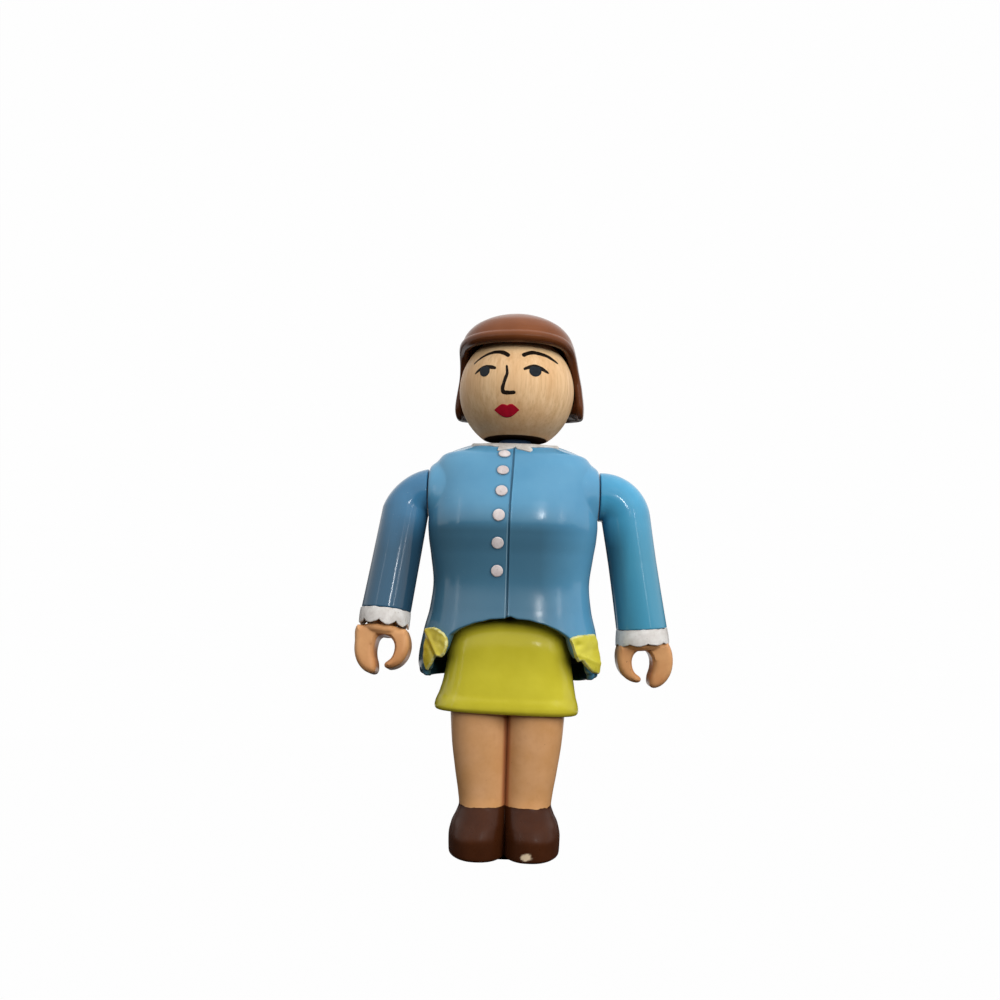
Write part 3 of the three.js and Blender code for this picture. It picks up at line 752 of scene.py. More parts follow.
def skirt_material():
    """Yellow-green with waves that break up its reflections, and painted shade at the hip and under the rim.
    """
    n = gloss_paint("skirt_yellow_green", "d0c53c", "c3b730", "8d8220", 0.09, 0.22)
    # Painted shade at the hip, under the jacket's hem.
    n.tint(n.span(n.along("Z"), HIP_Z - 4, HIP_Z + 6, 0, 0.55), "9a9024")
    foot = HIP_Z - SKIRT["drop"]
    # Painted shade under the rim, where it faces down.
    n.tint(n.span(n.along("Z"), foot + 1.5, foot + 0.5, 0, 0.5), "a3951c")
    n.normal = n.bump(n.noise(240, 3, 0.5), 0.35, 0.0003, n.normal)
    return n.done(Specular_IOR_Level=0.3)


def flap_material():
    """Yellow with painted shade towards the figure's right and a painted highlight along the edges."""
    n = gloss_paint("turned_back_yellow", "d8cf45", "c0b638", "8f8526", 0.22, 0.4)
    # Painted shade towards the figure's right.
    n.tint(n.span(n.along("X"), 0, -16, 0, 0.6), "a38a1e")
    # Painted highlight along the edges, broken up by noise.
    n.tint_where("edge", n.span(n.noise(1100, 3), 0.35, 0.55, 0, 0.8), "d9d59a")
    return n.done()


def skin_paint(name, main, deep):
    """Moulded flesh plastic, mottled and with a few specks."""
    n = Paint(name)
    n.colour = n.shades(130, deep, main, 4, 0.68)
    n.tint(n.span(n.noise(800, 3, 0.5), 0.5, 0.8, 0, 0.12), "9a6236")
    n.tint(n.specks(1300, 1, 0.4, 0.76, 0.79, 0.5), "7c4a26")
    n.gloss = n.span(n.noise(700, 5), 0.3, 0.7, 0.28, 0.4)
    n.normal = n.bump(n.noise(1600), 0.05)
    return n


def leg_material():
    """Flesh plastic with painted shade in the groove between the legs, and brown painted shoes, whose upper
    edge is ragged.
    """
    n = skin_paint("leg_skin_and_shoe_paint", "d3a072", "c8935f")
    # Painted shade in the groove between the legs.
    n.tint_where("groove_shade", 0.75, "985532")
    ragged = n.math("ADD", n.attribute("shoe"), n.span(n.noise(700, 4, 0.6), 0, 1, -0.07, 0.07))
    share = n.ramp(ragged, (0.49, 0.0), (0.51, 1.0))
    brown = n.shades(160, "391b0b", "432210")
    brown = n.mix(n.span(n.noise(1500, 3), 0.6, 0.8, 0, 0.12), brown, rgb("5a3d28"))
    n.colour = n.mix(share, n.colour, brown)
    n.tint(n.attribute("chip"), "d9c3a4")
    n.gloss = n.mix(share, n.gloss, n.span(n.noise(500), 0.3, 0.7, 0.26, 0.4))
    return n.done(Specular_IOR_Level=0.22)


def wood_material():
    """Pale wood with fine upright grain; painted light on the forehead under the fringe, painted shade on the
    chin, and dark painted shade on the cut flat underside.
    """
    n = Paint("head_wood")
    grain = n.noise(1.0, 5, 0.6, n.stretched(700, 700, 60))
    fine = n.noise(1.0, 5, 0.65, n.stretched(2600, 2600, 170))
    broad = n.noise(1.0, 2, 0.5, n.stretched(110, 110, 40))
    n.colour = n.ramp(grain, (0.25, rgb("d2a878")), (0.5, rgb("e0ba8c")), (0.75, rgb("ecca9e")))
    n.tint(n.span(fine, 0.48, 0.75, 0, 0.5), "ae7d4a")
    n.tint(n.span(broad, 0.42, 0.65, 0, 0.4), "c89564")
    up = n.along("Z")
    # Painted light on the forehead, where the fringe shades it.
    n.tint(n.span(up, HEAD["z"] + 5.5, HEAD["z"] + 8, 0, 0.6), "f6d6a6")
    # Painted shade on the chin and the lower ball.
    n.tint(n.span(up, HEAD["z"] - 4, HEAD["z"] - 10, 0, 0.4), "b17a49")
    # Dark painted shade on the flat underside, with its reflection turned off too.
    sawn_underside_shade = n.span(up, HEAD["z"] - 10.45, HEAD["z"] - 10.55)
    n.tint(sawn_underside_shade, "2a1d14")
    n.gloss = n.span(fine, 0.3, 0.7, 0.36, 0.5)
    n.normal = n.bump(fine, 0.12)
    return n.done(Specular_IOR_Level=n.span(sawn_underside_shade, 0, 1, 0.3, 0))


def hair_material():
    n = gloss_paint("hair_brown", "7b4626", "6c3b1d", "4a2812", 0.16, 0.28)
    # Painted shade: the rolled fringe and all of the hair below it are darkened.
    n.tint(n.span(n.along("Z"), HEAD["z"] + 10.5, HEAD["z"] + 8, 0, 0.5), "3c1d0d")
    return n.done(Specular_IOR_Level=0.22)


def neck_material():
    return gloss_paint("neck_blue", "3a5272", "2b4059", "1a2534", 0.3, 0.45).done()


def face_paint(name, main, deep, rough):
    n = Paint(name)
    n.colour = n.shades(900, deep, main, 4, 0.65)
    n.gloss = n.span(n.noise(1200, 3), 0.3, 0.7, rough, rough + 0.12)
    return n.done(Specular_IOR_Level=0.12)


def axle_material():
    n = Paint("axle_steel")
    drawn = n.noise(1.0, 5, 0.6, n.stretched(60, 2600, 2600))
    n.colour = n.ramp(drawn, (0.3, rgb("202326")), (0.7, rgb("2e3236")))
    n.gloss = n.span(drawn, 0.3, 0.7, 0.4, 0.6)
    return n.done(Metallic=1.0)


# The jacket


def jacket_point(angle, up, inset=0.0):
    """Point of the jacket's surface, moved in by an inset."""
    half, front, back = smooth_row(JACKET_STATIONS, up)
    x, y = oval_point(angle, half - inset, front - inset, back - inset, JACKET["squareness"])
    return x, y, JACKET_HEM + up - neck_dip(y, up)


def neck_dip(y, up):
    """How far the jacket's top is lowered in front of the neck."""
    return JACKET["dip"] * smoothstep(-1.5, 2.5, -y) * smoothstep(48.8, 51.6, up)


def angle_at(x, up):
    """Angle in the front half at which the jacket's surface has a given x."""
    share = clamp(x / smooth_row(JACKET_STATIONS, up)[0], -1, 1)
    return 2 * math.pi - math.acos(math.copysign(abs(share) ** (JACKET["squareness"] / 2), share))


def raised(angle, up, lift):
    """Point of the jacket's surface moved out along the surface's normal."""
    step = 0.05
    along = Vector(jacket_point(angle + step / 10, up)) - Vector(jacket_point(angle - step / 10, up))
    low, high = max(up - step, 0), min(up + step, JACKET["top"])
    rise = Vector(jacket_point(angle, high)) - Vector(jacket_point(angle, low))
    return tuple(Vector(jacket_point(angle, up)) + along.cross(rise).normalized() * lift)


def hem_height(x):
    """Height of the front hem above the back hem, a little higher behind the turned-back corners."""
    away = abs(x)
    hidden = smoothstep(13.3, 13.7, away) * (1 - smoothstep(17.3, 17.9, away))
    return broken_line(OPENING, away) + 0.8 * hidden


def seat_pad(point):
    """Flattens the jacket's side round each shoulder, where the sleeve turns against it."""
    x, y, z = point
    away = math.hypot(y, z - SLEEVE["shoulder_z"])
    share = 1 - smoothstep(SLEEVE["pad"], SLEEVE["pad"] + SLEEVE["pad_blend"], away)
    return lerp(x, math.copysign(SLEEVE["seat_x"], x), share), y, z


def refine(rough, fine, margin):
    """Angles with fine ones in place of the rough ones in their stretch."""
    low, high = min(fine) - margin, max(fine) + margin
    return [a for a in rough if a < low or a > high] + fine


def front_angles():
    """Angles of the front shell's columns, close together at the groove and the corners."""
    groove = [angle_at(x, 25) for x in spread(60, -1.7, 0.9)]
    angles = refine(spread(190, math.pi, 2 * math.pi), groove, 0.004)
    for side in (-1, 1):
        angles += [angle_at(side * x, 6) for x in spread(14, 12.8, 14.2)]
        angles += [angle_at(side * x, 1) for x in spread(10, 18.2, 18.9)]
    angles = sorted(set(angles))
    thinned = [angles[0]]
    for angle in angles[1:]:
        if angle - thinned[-1] > 0.0012:
            thinned.append(angle)
    thinned[-1] = 2 * math.pi
    return thinned


def shell_column(angle, hem, side):
    """A closed profile of a jacket shell, from the hem up its outer side and down inside.

    Each point goes with a share: 1 on the inside and 0 on the outside.
    """
    wall, lip, top, roof = JACKET["wall"], JACKET["lip"], JACKET["top"], JACKET["inner_top"]
    column, inside = [], []

    def add(point, share):
        x, y, z = point if share else seat_pad(point)
        column.append((x, min(y, -GAP / 2) if side < 0 else max(y, GAP / 2), z))
        inside.append(share)

    for a in spread(7, 180, 270):
        inset = wall - lip + lip * math.cos(math.radians(a + 180))
        add(jacket_point(angle, hem + lip + lip * math.sin(math.radians(a)), inset), 1.0)
    for a in spread(7, 270, 360)[1:]:
        inset = lip - lip * math.cos(math.radians(a))
        add(jacket_point(angle, hem + lip + lip * math.sin(math.radians(a)), inset), 0.0)
    for up in spread(150, hem + lip, top)[1:]:
        add(jacket_point(angle, up), 0.0)
    turn = math.atan2(column[-1][1], column[-1][0])
    for radius, up in (
        (NECK["mouth"] + 0.3, top),
        (NECK["mouth"], top - 0.3),
        (NECK["mouth"], top - NECK["mouth_depth"]),
        (NECK["bore"], top - NECK["mouth_depth"]),
        (NECK["bore"], roof),
    ):
        y = radius * math.sin(turn)
        add((radius * math.cos(turn), y, JACKET_HEM + up - neck_dip(y, up)), 1.0)
    for share in spread(5):
        inset = lerp(JACKET["roof_inset"], wall + 0.4, share)
        add(jacket_point(angle, lerp(roof, roof - 1.5, share**2), inset), 1.0)
    for up in spread(60, roof - 2, hem + lip)[:-1]:
        add(jacket_point(angle, up, wall), 1.0)
    return column, inside


def carve_groove(point):
    """The point moved back where the opening's groove runs, and its shares of painted shade in the groove and
    of painted highlight on the pale lip beside it.
    """
    x, y, z = point
    up = z - JACKET_HEM
    middle = lerp(GROOVE["chest_x"], GROOVE["top_x"], smoothstep(GROOVE["chest"], GROOVE["top"], up))
    across = (x - middle) / GROOVE["half"]
    if abs(across) > 2.2:
        return point, 0.0, 0.0
    trough = max(0.0, 1 - abs(across) ** 2.4)
    rise = 0.07 * math.exp(-((abs(across) - 1.35) ** 2) / 0.12)
    groove_highlight = smoothstep(0.9, 1.2, -across) * (1 - smoothstep(1.5, 1.9, -across))
    return (x, y + GROOVE["depth"] * trough - rise, z), trough, groove_highlight * (1 - smoothstep(30, 37, up))


def button_shade_ring(point):
    """How deep a point lies in the ring of painted shade round a button."""
    x, _, z = point
    near = min(math.hypot(x - bx, (z - JACKET_HEM - up) / tall) for bx, up, tall in BUTTON_PLACES)
    return 1 - smoothstep(BUTTON["radius"], BUTTON["radius"] + BUTTON["ring"], near)


def front_hem(angle):
    """Height of the front shell's slightly uneven hem at an angle."""
    x = jacket_point(angle, hem_height(jacket_point(angle, 8)[0]))[0]
    return max(0.0, hem_height(x) + 0.08 * wobble(x, 0, 0, 1.3, 4))


def back_hem(angle):
    """Height of the back shell's hem at an angle; it hangs lower on the figure's left."""
    x, y, _ = jacket_point(angle, 0)
    return -JACKET["hem_drop"] * smoothstep(1, 7, y) * smoothstep(-4, 10, x)


def jacket_front(material):
    shells = [shell_column(angle, front_hem(angle), -1) for angle in front_angles()]
    inside = [share for _, shares in shells for share in shares]
    points, faces = loop_sweep([column for column, _ in shells])
    ring = [button_shade_ring(point) for point in points]
    carved = [(p, 0.0, 0.0) if share else carve_groove(p) for p, share in zip(points, inside)]
    points, front_groove_shade, lip = zip(*carved)
    attributes = {"inside": inside, "front_groove_shade": front_groove_shade, "lip": lip, "ring": ring}
    return piece("jacket_front", (points, faces), "torso", material, ["torso_front"], attributes)


def jacket_back(material):
    shells = [shell_column(angle, back_hem(angle), 1) for angle in spread(200, 0, math.pi)]
    inside = [share for _, shares in shells for share in shares]
    sweep = loop_sweep([column for column, _ in shells])
    return piece("jacket_back", sweep, "torso", material, ["torso_back"], {"inside": inside})


def collar_edge(angle):
    """Height above the hem of the collar's lower edge at an angle."""
    half, depth, power = COLLAR["half"], COLLAR["depth"], JACKET["squareness"]
    low, high = COLLAR["lowest"], COLLAR["highest"]
    for _ in range(24):
        middle = (low + high) / 2
        x, y, _z = jacket_point(angle, middle)
        if abs(x / half) ** power + abs(y / depth) ** power < 1:
            high = middle
        else:
            low = middle
    x = jacket_point(angle, high)[0]
    table = COLLAR_EDGE_LEFT if x < 0 else COLLAR_EDGE_RIGHT
    past = (abs(x) - table[-1][0]) / COLLAR["fade"]
    if math.sin(angle) > 0 or past > 1:
        return high
    pointed = broken_line(table, abs(jacket_point(angle, broken_line(table, abs(x)))[0]))
    return lerp(pointed, high, max(past, 0.0))


def collar(material):
    """White collar: two points in front and a thin band round the neck."""
    tips = [angle_at(x, 50.5) for x in spread(150, -5, 5)]
    rough = spread(180, 0, math.pi)[:-1] + [a for a in front_angles() if a < 2 * math.pi]
    lift, sunk, mouth, top = COLLAR["height"], -COLLAR["sunk"], NECK["mouth"] + 0.1, JACKET["top"]
    turn_in = COLLAR["turn_in"]
    loops = []
    for angle in sorted(refine(rough, tips, 0.01)):
        edge = min(collar_edge(angle), turn_in) + 0.03 * wobble(angle * 30, 0, 0, 1, 2)
        x, y, _ = jacket_point(angle, turn_in)
        turn = math.atan2(y, x)
        loop = [raised(angle, edge, sunk), raised(angle, edge, 0.1), raised(angle, edge + 0.03, lift * 0.7)]
        loop += [raised(angle, up, lift) for up in spread(24, edge + 0.12, top)]
        for radius, drop in ((mouth + 0.6, 0), (mouth + 0.12, 0.06), (mouth, 0.2), (mouth, lift + 0.2)):
            y = radius * math.sin(turn)
            loop.append((radius * math.cos(turn), y, JACKET_HEM + top + lift - drop - neck_dip(y, top)))
        loop += [raised(angle, up, sunk) for up in spread(8, turn_in, edge + 0.1)]
        loops.append(loop)
    return piece("collar", loop_sweep(loops, True), "torso", material)


def button(index, material):
    """A domed button that stands square on the chest, round or a little flattened."""
    x, up, tall = BUTTON_PLACES[index]
    angle = angle_at(x, up)
    normal = (Vector(raised(angle, up, 1)) - Vector(raised(angle, up, 0))).normalized()
    radius, height = BUTTON["radius"], BUTTON["height"] + BUTTON["sunk"]
    profile = [(0, 0), (radius, 0), (radius, height * 0.45)]
    for a in spread(7, 0.2, math.pi / 2):
        profile.append((radius - 0.3 + 0.3 * math.cos(a), height * 0.45 + height * 0.4 * math.sin(a)))
    profile += [(radius * 0.55, height * 0.9), (radius * 0.3, height * 0.97), (0, height)]
    place = Matrix.Translation(raised(angle, up, -BUTTON["sunk"]))
    place = place @ normal.to_track_quat("Z", "Y").to_matrix().to_4x4() @ Matrix.Diagonal((1, tall, 1, 1))
    return piece(f"button_{index + 1}", turned(profile, 64, place), "torso", material)


def flap_fold(side, x, z):
    """Height of the folds on a turned-back corner."""
    if side == "right":
        across = (x - 15.7) * 0.85 - (z - 45.4) * 0.45
        ridge = 0.4 * math.exp(-(across**2) / 0.22) - 0.22 * math.exp(-((across - 0.8) ** 2) / 0.2)
        return ridge + 0.16 * wobble(x, z, 0, 1.3, 8)
    dimple = math.hypot(x - 14.3, z - 46.8)
    across = (x - 15.2) * 0.35 + (z - 44.4) * 0.9
    ridge = 0.22 * math.exp(-(across**2) / 0.25) - 0.34 * math.exp(-(dimple**2) / 0.35)
    return ridge + 0.14 * wobble(x, z, 5, 1.5, 8)


def flap(side, material):
    """A yellow corner folded back over the jacket's front, with a ragged edge that carries a painted
    highlight.
    """
    loops, edge = [], []
    rows = 40
    sign = -1 if side == "right" else 1
    top, bottom = FLAPS[side]["top"], FLAPS[side]["bottom"]
    inner, outer, thin = top[0][0], top[-1][0], FLAP["edge"]
    for x in spread(110, inner, outer):
        low = broken_line(bottom, x) + FLAP["ragged"] * wobble(x, sign * 3, 0, 0.6, 5)
        high = max(broken_line(top, x) + FLAP["ragged"] * wobble(x, sign * 3, 9, 0.6, 6), low + 0.25)
        front, behind = [], []
        for z in spread(rows, low, high):
            near = min(z - low, high - z, x - inner + thin, outer - x + thin)
            round_off = math.sqrt(clamp(near / FLAP["rounding"]))
            lift = thin + (FLAP["thickness"] - thin + flap_fold(side, x, z)) * round_off
            angle = angle_at(sign * x, z - JACKET_HEM)
            front.append(raised(angle, z - JACKET_HEM, lift))
            behind.append(raised(angle, z - JACKET_HEM, -0.05))
            # Share of the painted highlight along the edge.
            edge.append(1 - smoothstep(0.15, 0.65, near))
        loops.append(front + behind[::-1])
        edge += [0.0] * rows
    name = f"turned_back_corner_{side}"
    return piece(name, loop_sweep(loops), "torso", material, attributes={"edge": edge})


# Arms


def sleeve_frame(side, along):
    """Middle line's place, the ring's turn and its radius, by distance from the shoulder."""
    arm = ARMS[side]
    lead, bend = arm["lead"], arm["bend"]
    sweep = math.radians(90 - arm["lean"])
    turn = clamp((along - lead) / bend, 0, sweep)
    rest = max(along - lead - bend * sweep, 0)
    place = Vector((SLEEVE["seat_x"] + GAP + min(along, lead), 0, SLEEVE["shoulder_z"]))
    place += Vector((math.sin(turn), 0, math.cos(turn) - 1)) * bend
    place += Vector((math.cos(sweep), 0, -math.sin(sweep))) * rest
    share = rest / arm["length"]
    if rest > 0:
        turn = lerp(sweep, math.radians(90 - SLEEVE["wrist_lean"]), share * share)
    slim = lerp(arm["shoulder_radius"], SLEEVE["elbow_radius"], clamp(share / SLEEVE["elbow_at"]))
    return place, turn, lerp(slim, arm["end_radius"], share * share)


def sleeve_length(side):
    arm = ARMS[side]
    return arm["lead"] + arm["bend"] * math.radians(90 - arm["lean"]) + arm["length"]


def arm_place(side):
    """Matrix that takes the hanging left arm to its place at rest on either side."""
    mirror = Matrix.Diagonal((1 if side == "left" else -1, 1, 1, 1))
    shoulder = Matrix.Translation((0, 0, SLEEVE["shoulder_z"]))
    return shoulder @ turning(ARMS[side]["swing"], "X") @ shoulder.inverted() @ mirror


def wrist_place(side):
    """Matrix from the wrist's own frame, whose Z goes up the arm, to the figure's."""
    end = sleeve_frame(side, sleeve_length(side))[0]
    return arm_place(side) @ Matrix.Translation(end) @ turning(-SLEEVE["wrist_lean"], "Y")


def sleeve(side, material):
    """A smooth bent tube with rounded ends."""
    total = sleeve_length(side)
    place = arm_place(side)
    rings = [(0.0, 0.0), (0.0, 0.6), (0.0, 0.93), (0.06, 0.985), (0.2, 1.0)]
    rings += [(along, 1.0) for along in spread(150, 0.4, total - 0.2)]
    rings += [(total - 0.06, 0.985), (total, 0.93), (total, 0.5), (total, 0.0)]
    columns = []
    for around in full_turn(144):
        column = []
        for along, share in rings:
            center, turn, radius = sleeve_frame(side, along)
            outward = Vector((math.sin(turn), 0, math.cos(turn)))
            flat = 1 - ARMS[side]["flattening"] * math.sin(2 * turn) * smoothstep(0, 1, math.cos(around))
            offset = outward * math.cos(around) * flat + Vector((0, 1, 0)) * math.sin(around)
            column.append(place @ (center + offset * (radius * share)))
        columns.append(column)
    sweep = pole_sweep(columns)
    return piece(f"sleeve_{side}", sweep, f"{side}_arm", material, [f"{side}_sleeve"])


def scallop(turn, side):
    """How far the cuff's hem is lifted at a turn, more ragged on the right arm."""
    waves = abs(math.sin(turn * CUFF["scallops"] / 2 + 0.45)) ** 0.7
    torn = wobble(math.cos(turn) * 5, math.sin(turn) * 5, 0, 1.1, 11)
    wave, tear = (0.5, 0.12) if side == "left" else (0.95, 0.25)
    return wave * (1 - waves) + tear * (torn + 0.5)


def cuff(side, material):
    """A white ring at the end of the sleeve, with a scalloped hem and a hollow inside."""
    place = wrist_place(side)
    wrist = ARMS[side]["end_radius"] + 0.05
    wide = ARMS[side]["hem_radius"]
    inner, bore = wide - CUFF["wall"], CUFF["bore"]
    roof = -CUFF["length"] + CUFF["lip"]
    loops = []
    for turn in full_turn(288):
        c, s = math.cos(turn), math.sin(turn)
        top = 0.18 * wobble(c * 6, s * 6, 3, 1.4, 21 if side == "right" else 23)
        hem = -CUFF["length"] + scallop(turn, side)
        profile = [(bore, -0.35), (wrist - 0.1, top - 0.02), (wrist + 0.02, top - 0.1)]
        for share in spread(16):
            bulge = 0.06 * math.sin(share * math.pi)
            profile.append((lerp(wrist, wide, share) + bulge, lerp(top - 0.2, hem + 0.15, share)))
        profile += [(wide - 0.06, hem + 0.03), (wide - 0.22, hem)]
        profile += [(inner + 0.05, hem + 0.05), (inner, hem + 0.2), (inner, roof), (bore, roof + 0.1)]
        loops.append([place @ Vector((r * c, r * s, z)) for r, z in profile])
    sweep = loop_sweep(loops, True)
    return piece(f"cuff_{side}", sweep, f"{side}_arm", material, [f"{side}_cuff"])


def clamp_outline():
    """The clamp's outline from its curves."""
    outline = []
    start = Vector(CLAMP_START)
    for one, two, end in CLAMP_CURVES:
        one, two, end = Vector(one), Vector(two), Vector(end)
        for t in spread(9)[:-1]:
            u = 1 - t
            outline.append(start * u**3 + one * 3 * u * u * t + two * 3 * u * t * t + end * t**3)
        start = end
    return outline + [start]


def clamp_solid():
    """The clamp as a bevelled plate, in the wrist's frame."""
    outline = clamp_outline()
    bevel, half = HAND["bevel"], HAND["thickness"] / 2
    turns = spread(8, 0, math.pi / 2)
    steps = [(bevel * (1 - math.sin(a)), -half + bevel * (1 - math.cos(a))) for a in turns]
    steps += [(inset, -y) for inset, y in reversed(steps)]
    loops = []
    for inset, y in steps:
        loop = []
        for i, p in enumerate(outline):
            edge = (outline[(i + 1) % len(outline)] - outline[i - 1]).normalized()
            moved = p + Vector((edge.y, -edge.x)) * inset
            loop.append((moved.x, y, moved.y - CLAMP_DROP))
        loops.append(loop)
    return loop_sweep(loops)


def joined_smooth(name, solids):
    """Points and faces of one closed mesh from several that overlap, with softened joins."""
    bm = bmesh.new()
    for points, faces in solids:
        verts = [bm.verts.new(p) for p in points]
        for face in faces:
            bm.faces.new([verts[k] for k in face])
    bmesh.ops.recalc_face_normals(bm, faces=bm.faces)
    mesh = bpy.data.meshes.new(name)
    bm.to_mesh(mesh)
    bm.free()
    draft = add_object(name + "_draft", mesh)
    remesh = draft.modifiers.new("join", "REMESH")
    remesh.mode = "VOXEL"
    remesh.voxel_size = HAND_JOIN["voxel"]
    soften = draft.modifiers.new("soften", "SMOOTH")
    soften.factor = 0.5
    soften.iterations = HAND_JOIN["passes"]
    done = bpy.data.meshes.new_from_object(draft.evaluated_get(bpy.context.evaluated_depsgraph_get()))
    bpy.data.objects.remove(draft)
    return [v.co for v in done.vertices], [tuple(p.vertices) for p in done.polygons]


def hand(side, material):
    """A clamp hand: thick outer finger, thinner thumb, wrist disc and the peg it turns on."""
    arm, name = ARMS[side], f"hand_{side}"
    top = -CUFF["length"] + CUFF["lip"] - GAP
    disc = arm["hem_radius"] - CUFF["wall"] - HAND["wrist_gap"]
    wrist = [(0, top - HAND["wrist"]), (disc - 0.8, top - HAND["wrist"]), (disc - 0.1, top - 1.2)]
    wrist += [(disc, top - 0.6), (disc - 0.3, top), (0, top)]
    thin, end = HAND["peg_radius"], top + HAND["peg"]
    peg = [(0, top - 1), (thin, top - 1), (thin, end - 0.4), (0, end)]
    points, faces = joined_smooth(name, [clamp_solid(), turned(wrist, 72), turned(peg, 72)])
    place = wrist_place(side) @ Matrix.Translation((0, 0, -arm["hand_out"]))
    moved = []
    for x, y, z in points:
        low = smoothstep(-3, -7, z)
        moved.append(place @ Vector((x * lerp(1, arm["hand_width"], low) - arm["hand_shift"] * low, y, z)))
    return piece(name, (moved, faces), f"{side}_hand", material, [f"{side}_hand"])


# Head


def head_turn():
    return Matrix.Translation((0, 0, HEAD["z"])) @ turning(HEAD["turn"], "Z")


def head_ball(material):
    radius, flat = HEAD["radius"], HEAD["flat_radius"]
    low = -math.sqrt(radius**2 - flat**2)
    start = math.degrees(math.asin(low / radius))
    profile = [(0, low), (flat - 0.35, low), (flat - 0.1, low + 0.06)]
    profile += arc((0, 0), radius, start + 1.2, 89.5, 140) + [(0, radius)]
    sweep = turned(profile, 192, head_turn())
    return piece("head_ball_wood", sweep, "head", material, ["head_ball"])


def on_ball(x, z, lift):
    """Point over the front of the ball, in the head's own frame."""
    radius = HEAD["radius"]
    y = -math.sqrt(max(radius**2 - x * x - z * z, 0.01))
    return Vector((x, y, z)) * ((radius + lift) / radius)


def painted(name, loops, material):
    """A thin layer of paint on the ball, from loops in the head's own frame."""
    place = head_turn()
    sweep = loop_sweep([[place @ p for p in loop] for loop in loops])
    return piece(name, sweep, "head", material)


def stroke(name, points, material):
    """A painted line on the ball: a thin ribbon whose width changes along it."""
    steps = 14
    path = [curve_at(points, k / steps) for k in range((len(points) - 1) * steps + 1)]
    loops = []
    for i, (x, z, width) in enumerate(path):
        before, after = path[max(i - 1, 0)], path[min(i + 1, len(path) - 1)]
        along = Vector((after[0] - before[0], after[1] - before[1])).normalized()
        ends = math.sqrt(clamp(min(i, len(path) - 1 - i) / 3.0, 0.05, 1))
        half = width / 2 * ends * (1 + 0.12 * wobble(x, z, 0, 0.5, 31))
        upper, lower = [], []
        for offset in spread(7, -1, 1):
            place = Vector((x, z)) + Vector((-along.y, along.x)) * half * offset
            upper.append(on_ball(place.x, place.y, PAINT_LIFT["stroke"] * (1 - 0.6 * offset**4)))
            lower.append(on_ball(place.x, place.y, PAINT_LIFT["sunk"]))
        loops.append(upper + lower[::-1])
    return painted(name, loops, material)


def patch(name, low, high, left, right, material):
    """A painted area on the ball between a lower and an upper line, which are functions of x."""
    loops = []
    for x in spread(60, left, right):
        bottom, top = low(x), max(high(x), low(x) + 0.02)
        loop = [on_ball(x, z, PAINT_LIFT["patch"]) for z in spread(16, bottom, top)]
        loops.append(loop + [on_ball(x, z, PAINT_LIFT["sunk"]) for z in spread(16, top, bottom)])
    return painted(name, loops, material)


def pupil(side, material):
    """The dark round under a lid, cut off above by the lid."""
    x0, z0, radius = PUPILS[side]

    def reach(x):
        return math.sqrt(max(radius**2 - (x - x0) ** 2, 0))

    def low(x):
        return z0 - reach(x)

    def high(x):
        return z0 + min(reach(x), 0.95)

    return patch(f"pupil_{side}", low, high, x0 - radius + 0.01, x0 + radius - 0.01, material)


def lips(material):
    def low(x):
        return smooth_row(LIP_BOTTOM, x)[0]

    def high(x):
        return smooth_row(LIP_TOP, x)[0]

    return patch("lips", low, high, LIP_TOP[0][0] + 0.02, LIP_TOP[-1][0] - 0.02, material)


# Hair and neck


def hair_middle(up):
    """How far behind the neck's axis the hair is widest."""
    return HAIR["set_back"] * (1 - smoothstep(2, 13, up))


def turn_of(point):
    """Angle of a point from the front, towards +X, about the hair's middle."""
    return math.atan2(point.x, hair_middle(point.z) - point.y)


def hair_point(turn, up):
    """Point on the hair's outer surface; turn is the angle from the front, towards +X."""
    last = HAIR_STATIONS[-1]
    if up > last[0]:
        share = math.sqrt(clamp((HAIR["top"] - up) / (HAIR["top"] - last[0])))
        half, front, back = (v * share for v in last[1:])
    else:
        half, front, back = smooth_row(HAIR_STATIONS, up)
    power = HAIR["squareness"]
    dx, dy = math.sin(turn), -math.cos(turn)
    middle = hair_middle(up)
    depth = max(front + middle if dy < 0 else back - middle, 1e-6)
    reach = (abs(dx / max(half, 1e-6)) ** power + abs(dy / depth) ** power) ** (-1 / power)
    return Vector((dx * reach, dy * reach + middle, up))


def hair_edge(share):
    """Turn, height, radius and bulge of the rolled edge, by the share of the way to the nape."""
    degrees, height, radius, bulge = curve_at(HAIR_EDGE, share * (len(HAIR_EDGE) - 1))
    return math.radians(degrees), height, radius, bulge


def hair_roll(share):
    """The rolled edge's profile, from where it leaves the outer surface to the inside."""
    turn, height, radius, bulge = hair_edge(share)
    surface = hair_point(turn, height)
    outward = Vector((surface.x, surface.y - hair_middle(height), 0)).normalized()
    center = surface - outward * (radius - bulge)
    ahead, behind = (hair_edge(clamp(share + step)) for step in (0.002, -0.002))
    along = hair_point(*ahead[:2]) - hair_point(*behind[:2])
    if along.length < 1e-6 or not math.radians(1) <= turn <= math.radians(179):
        along = Vector((math.cos(turn), math.sin(turn), 0))
    free = along.normalized().cross(outward).normalized()
    if free.dot(Vector((0, -0.2, -1))) < 0:
        free = -free

    def rolled(degrees):
        a = math.radians(degrees)
        return center + (outward * math.cos(a) + free * math.sin(a)) * radius

    start = 0
    while start > -80 and bulge >= 0.04:
        point = rolled(start - 2)
        middle = Vector((0, hair_middle(point.z)))
        flat = hair_point(turn_of(point), point.z)
        if (point.xy - middle).length < (flat.xy - middle).length - 0.01:
            break
        start -= 2
    return [rolled(a) for a in spread(22, start, 178)]


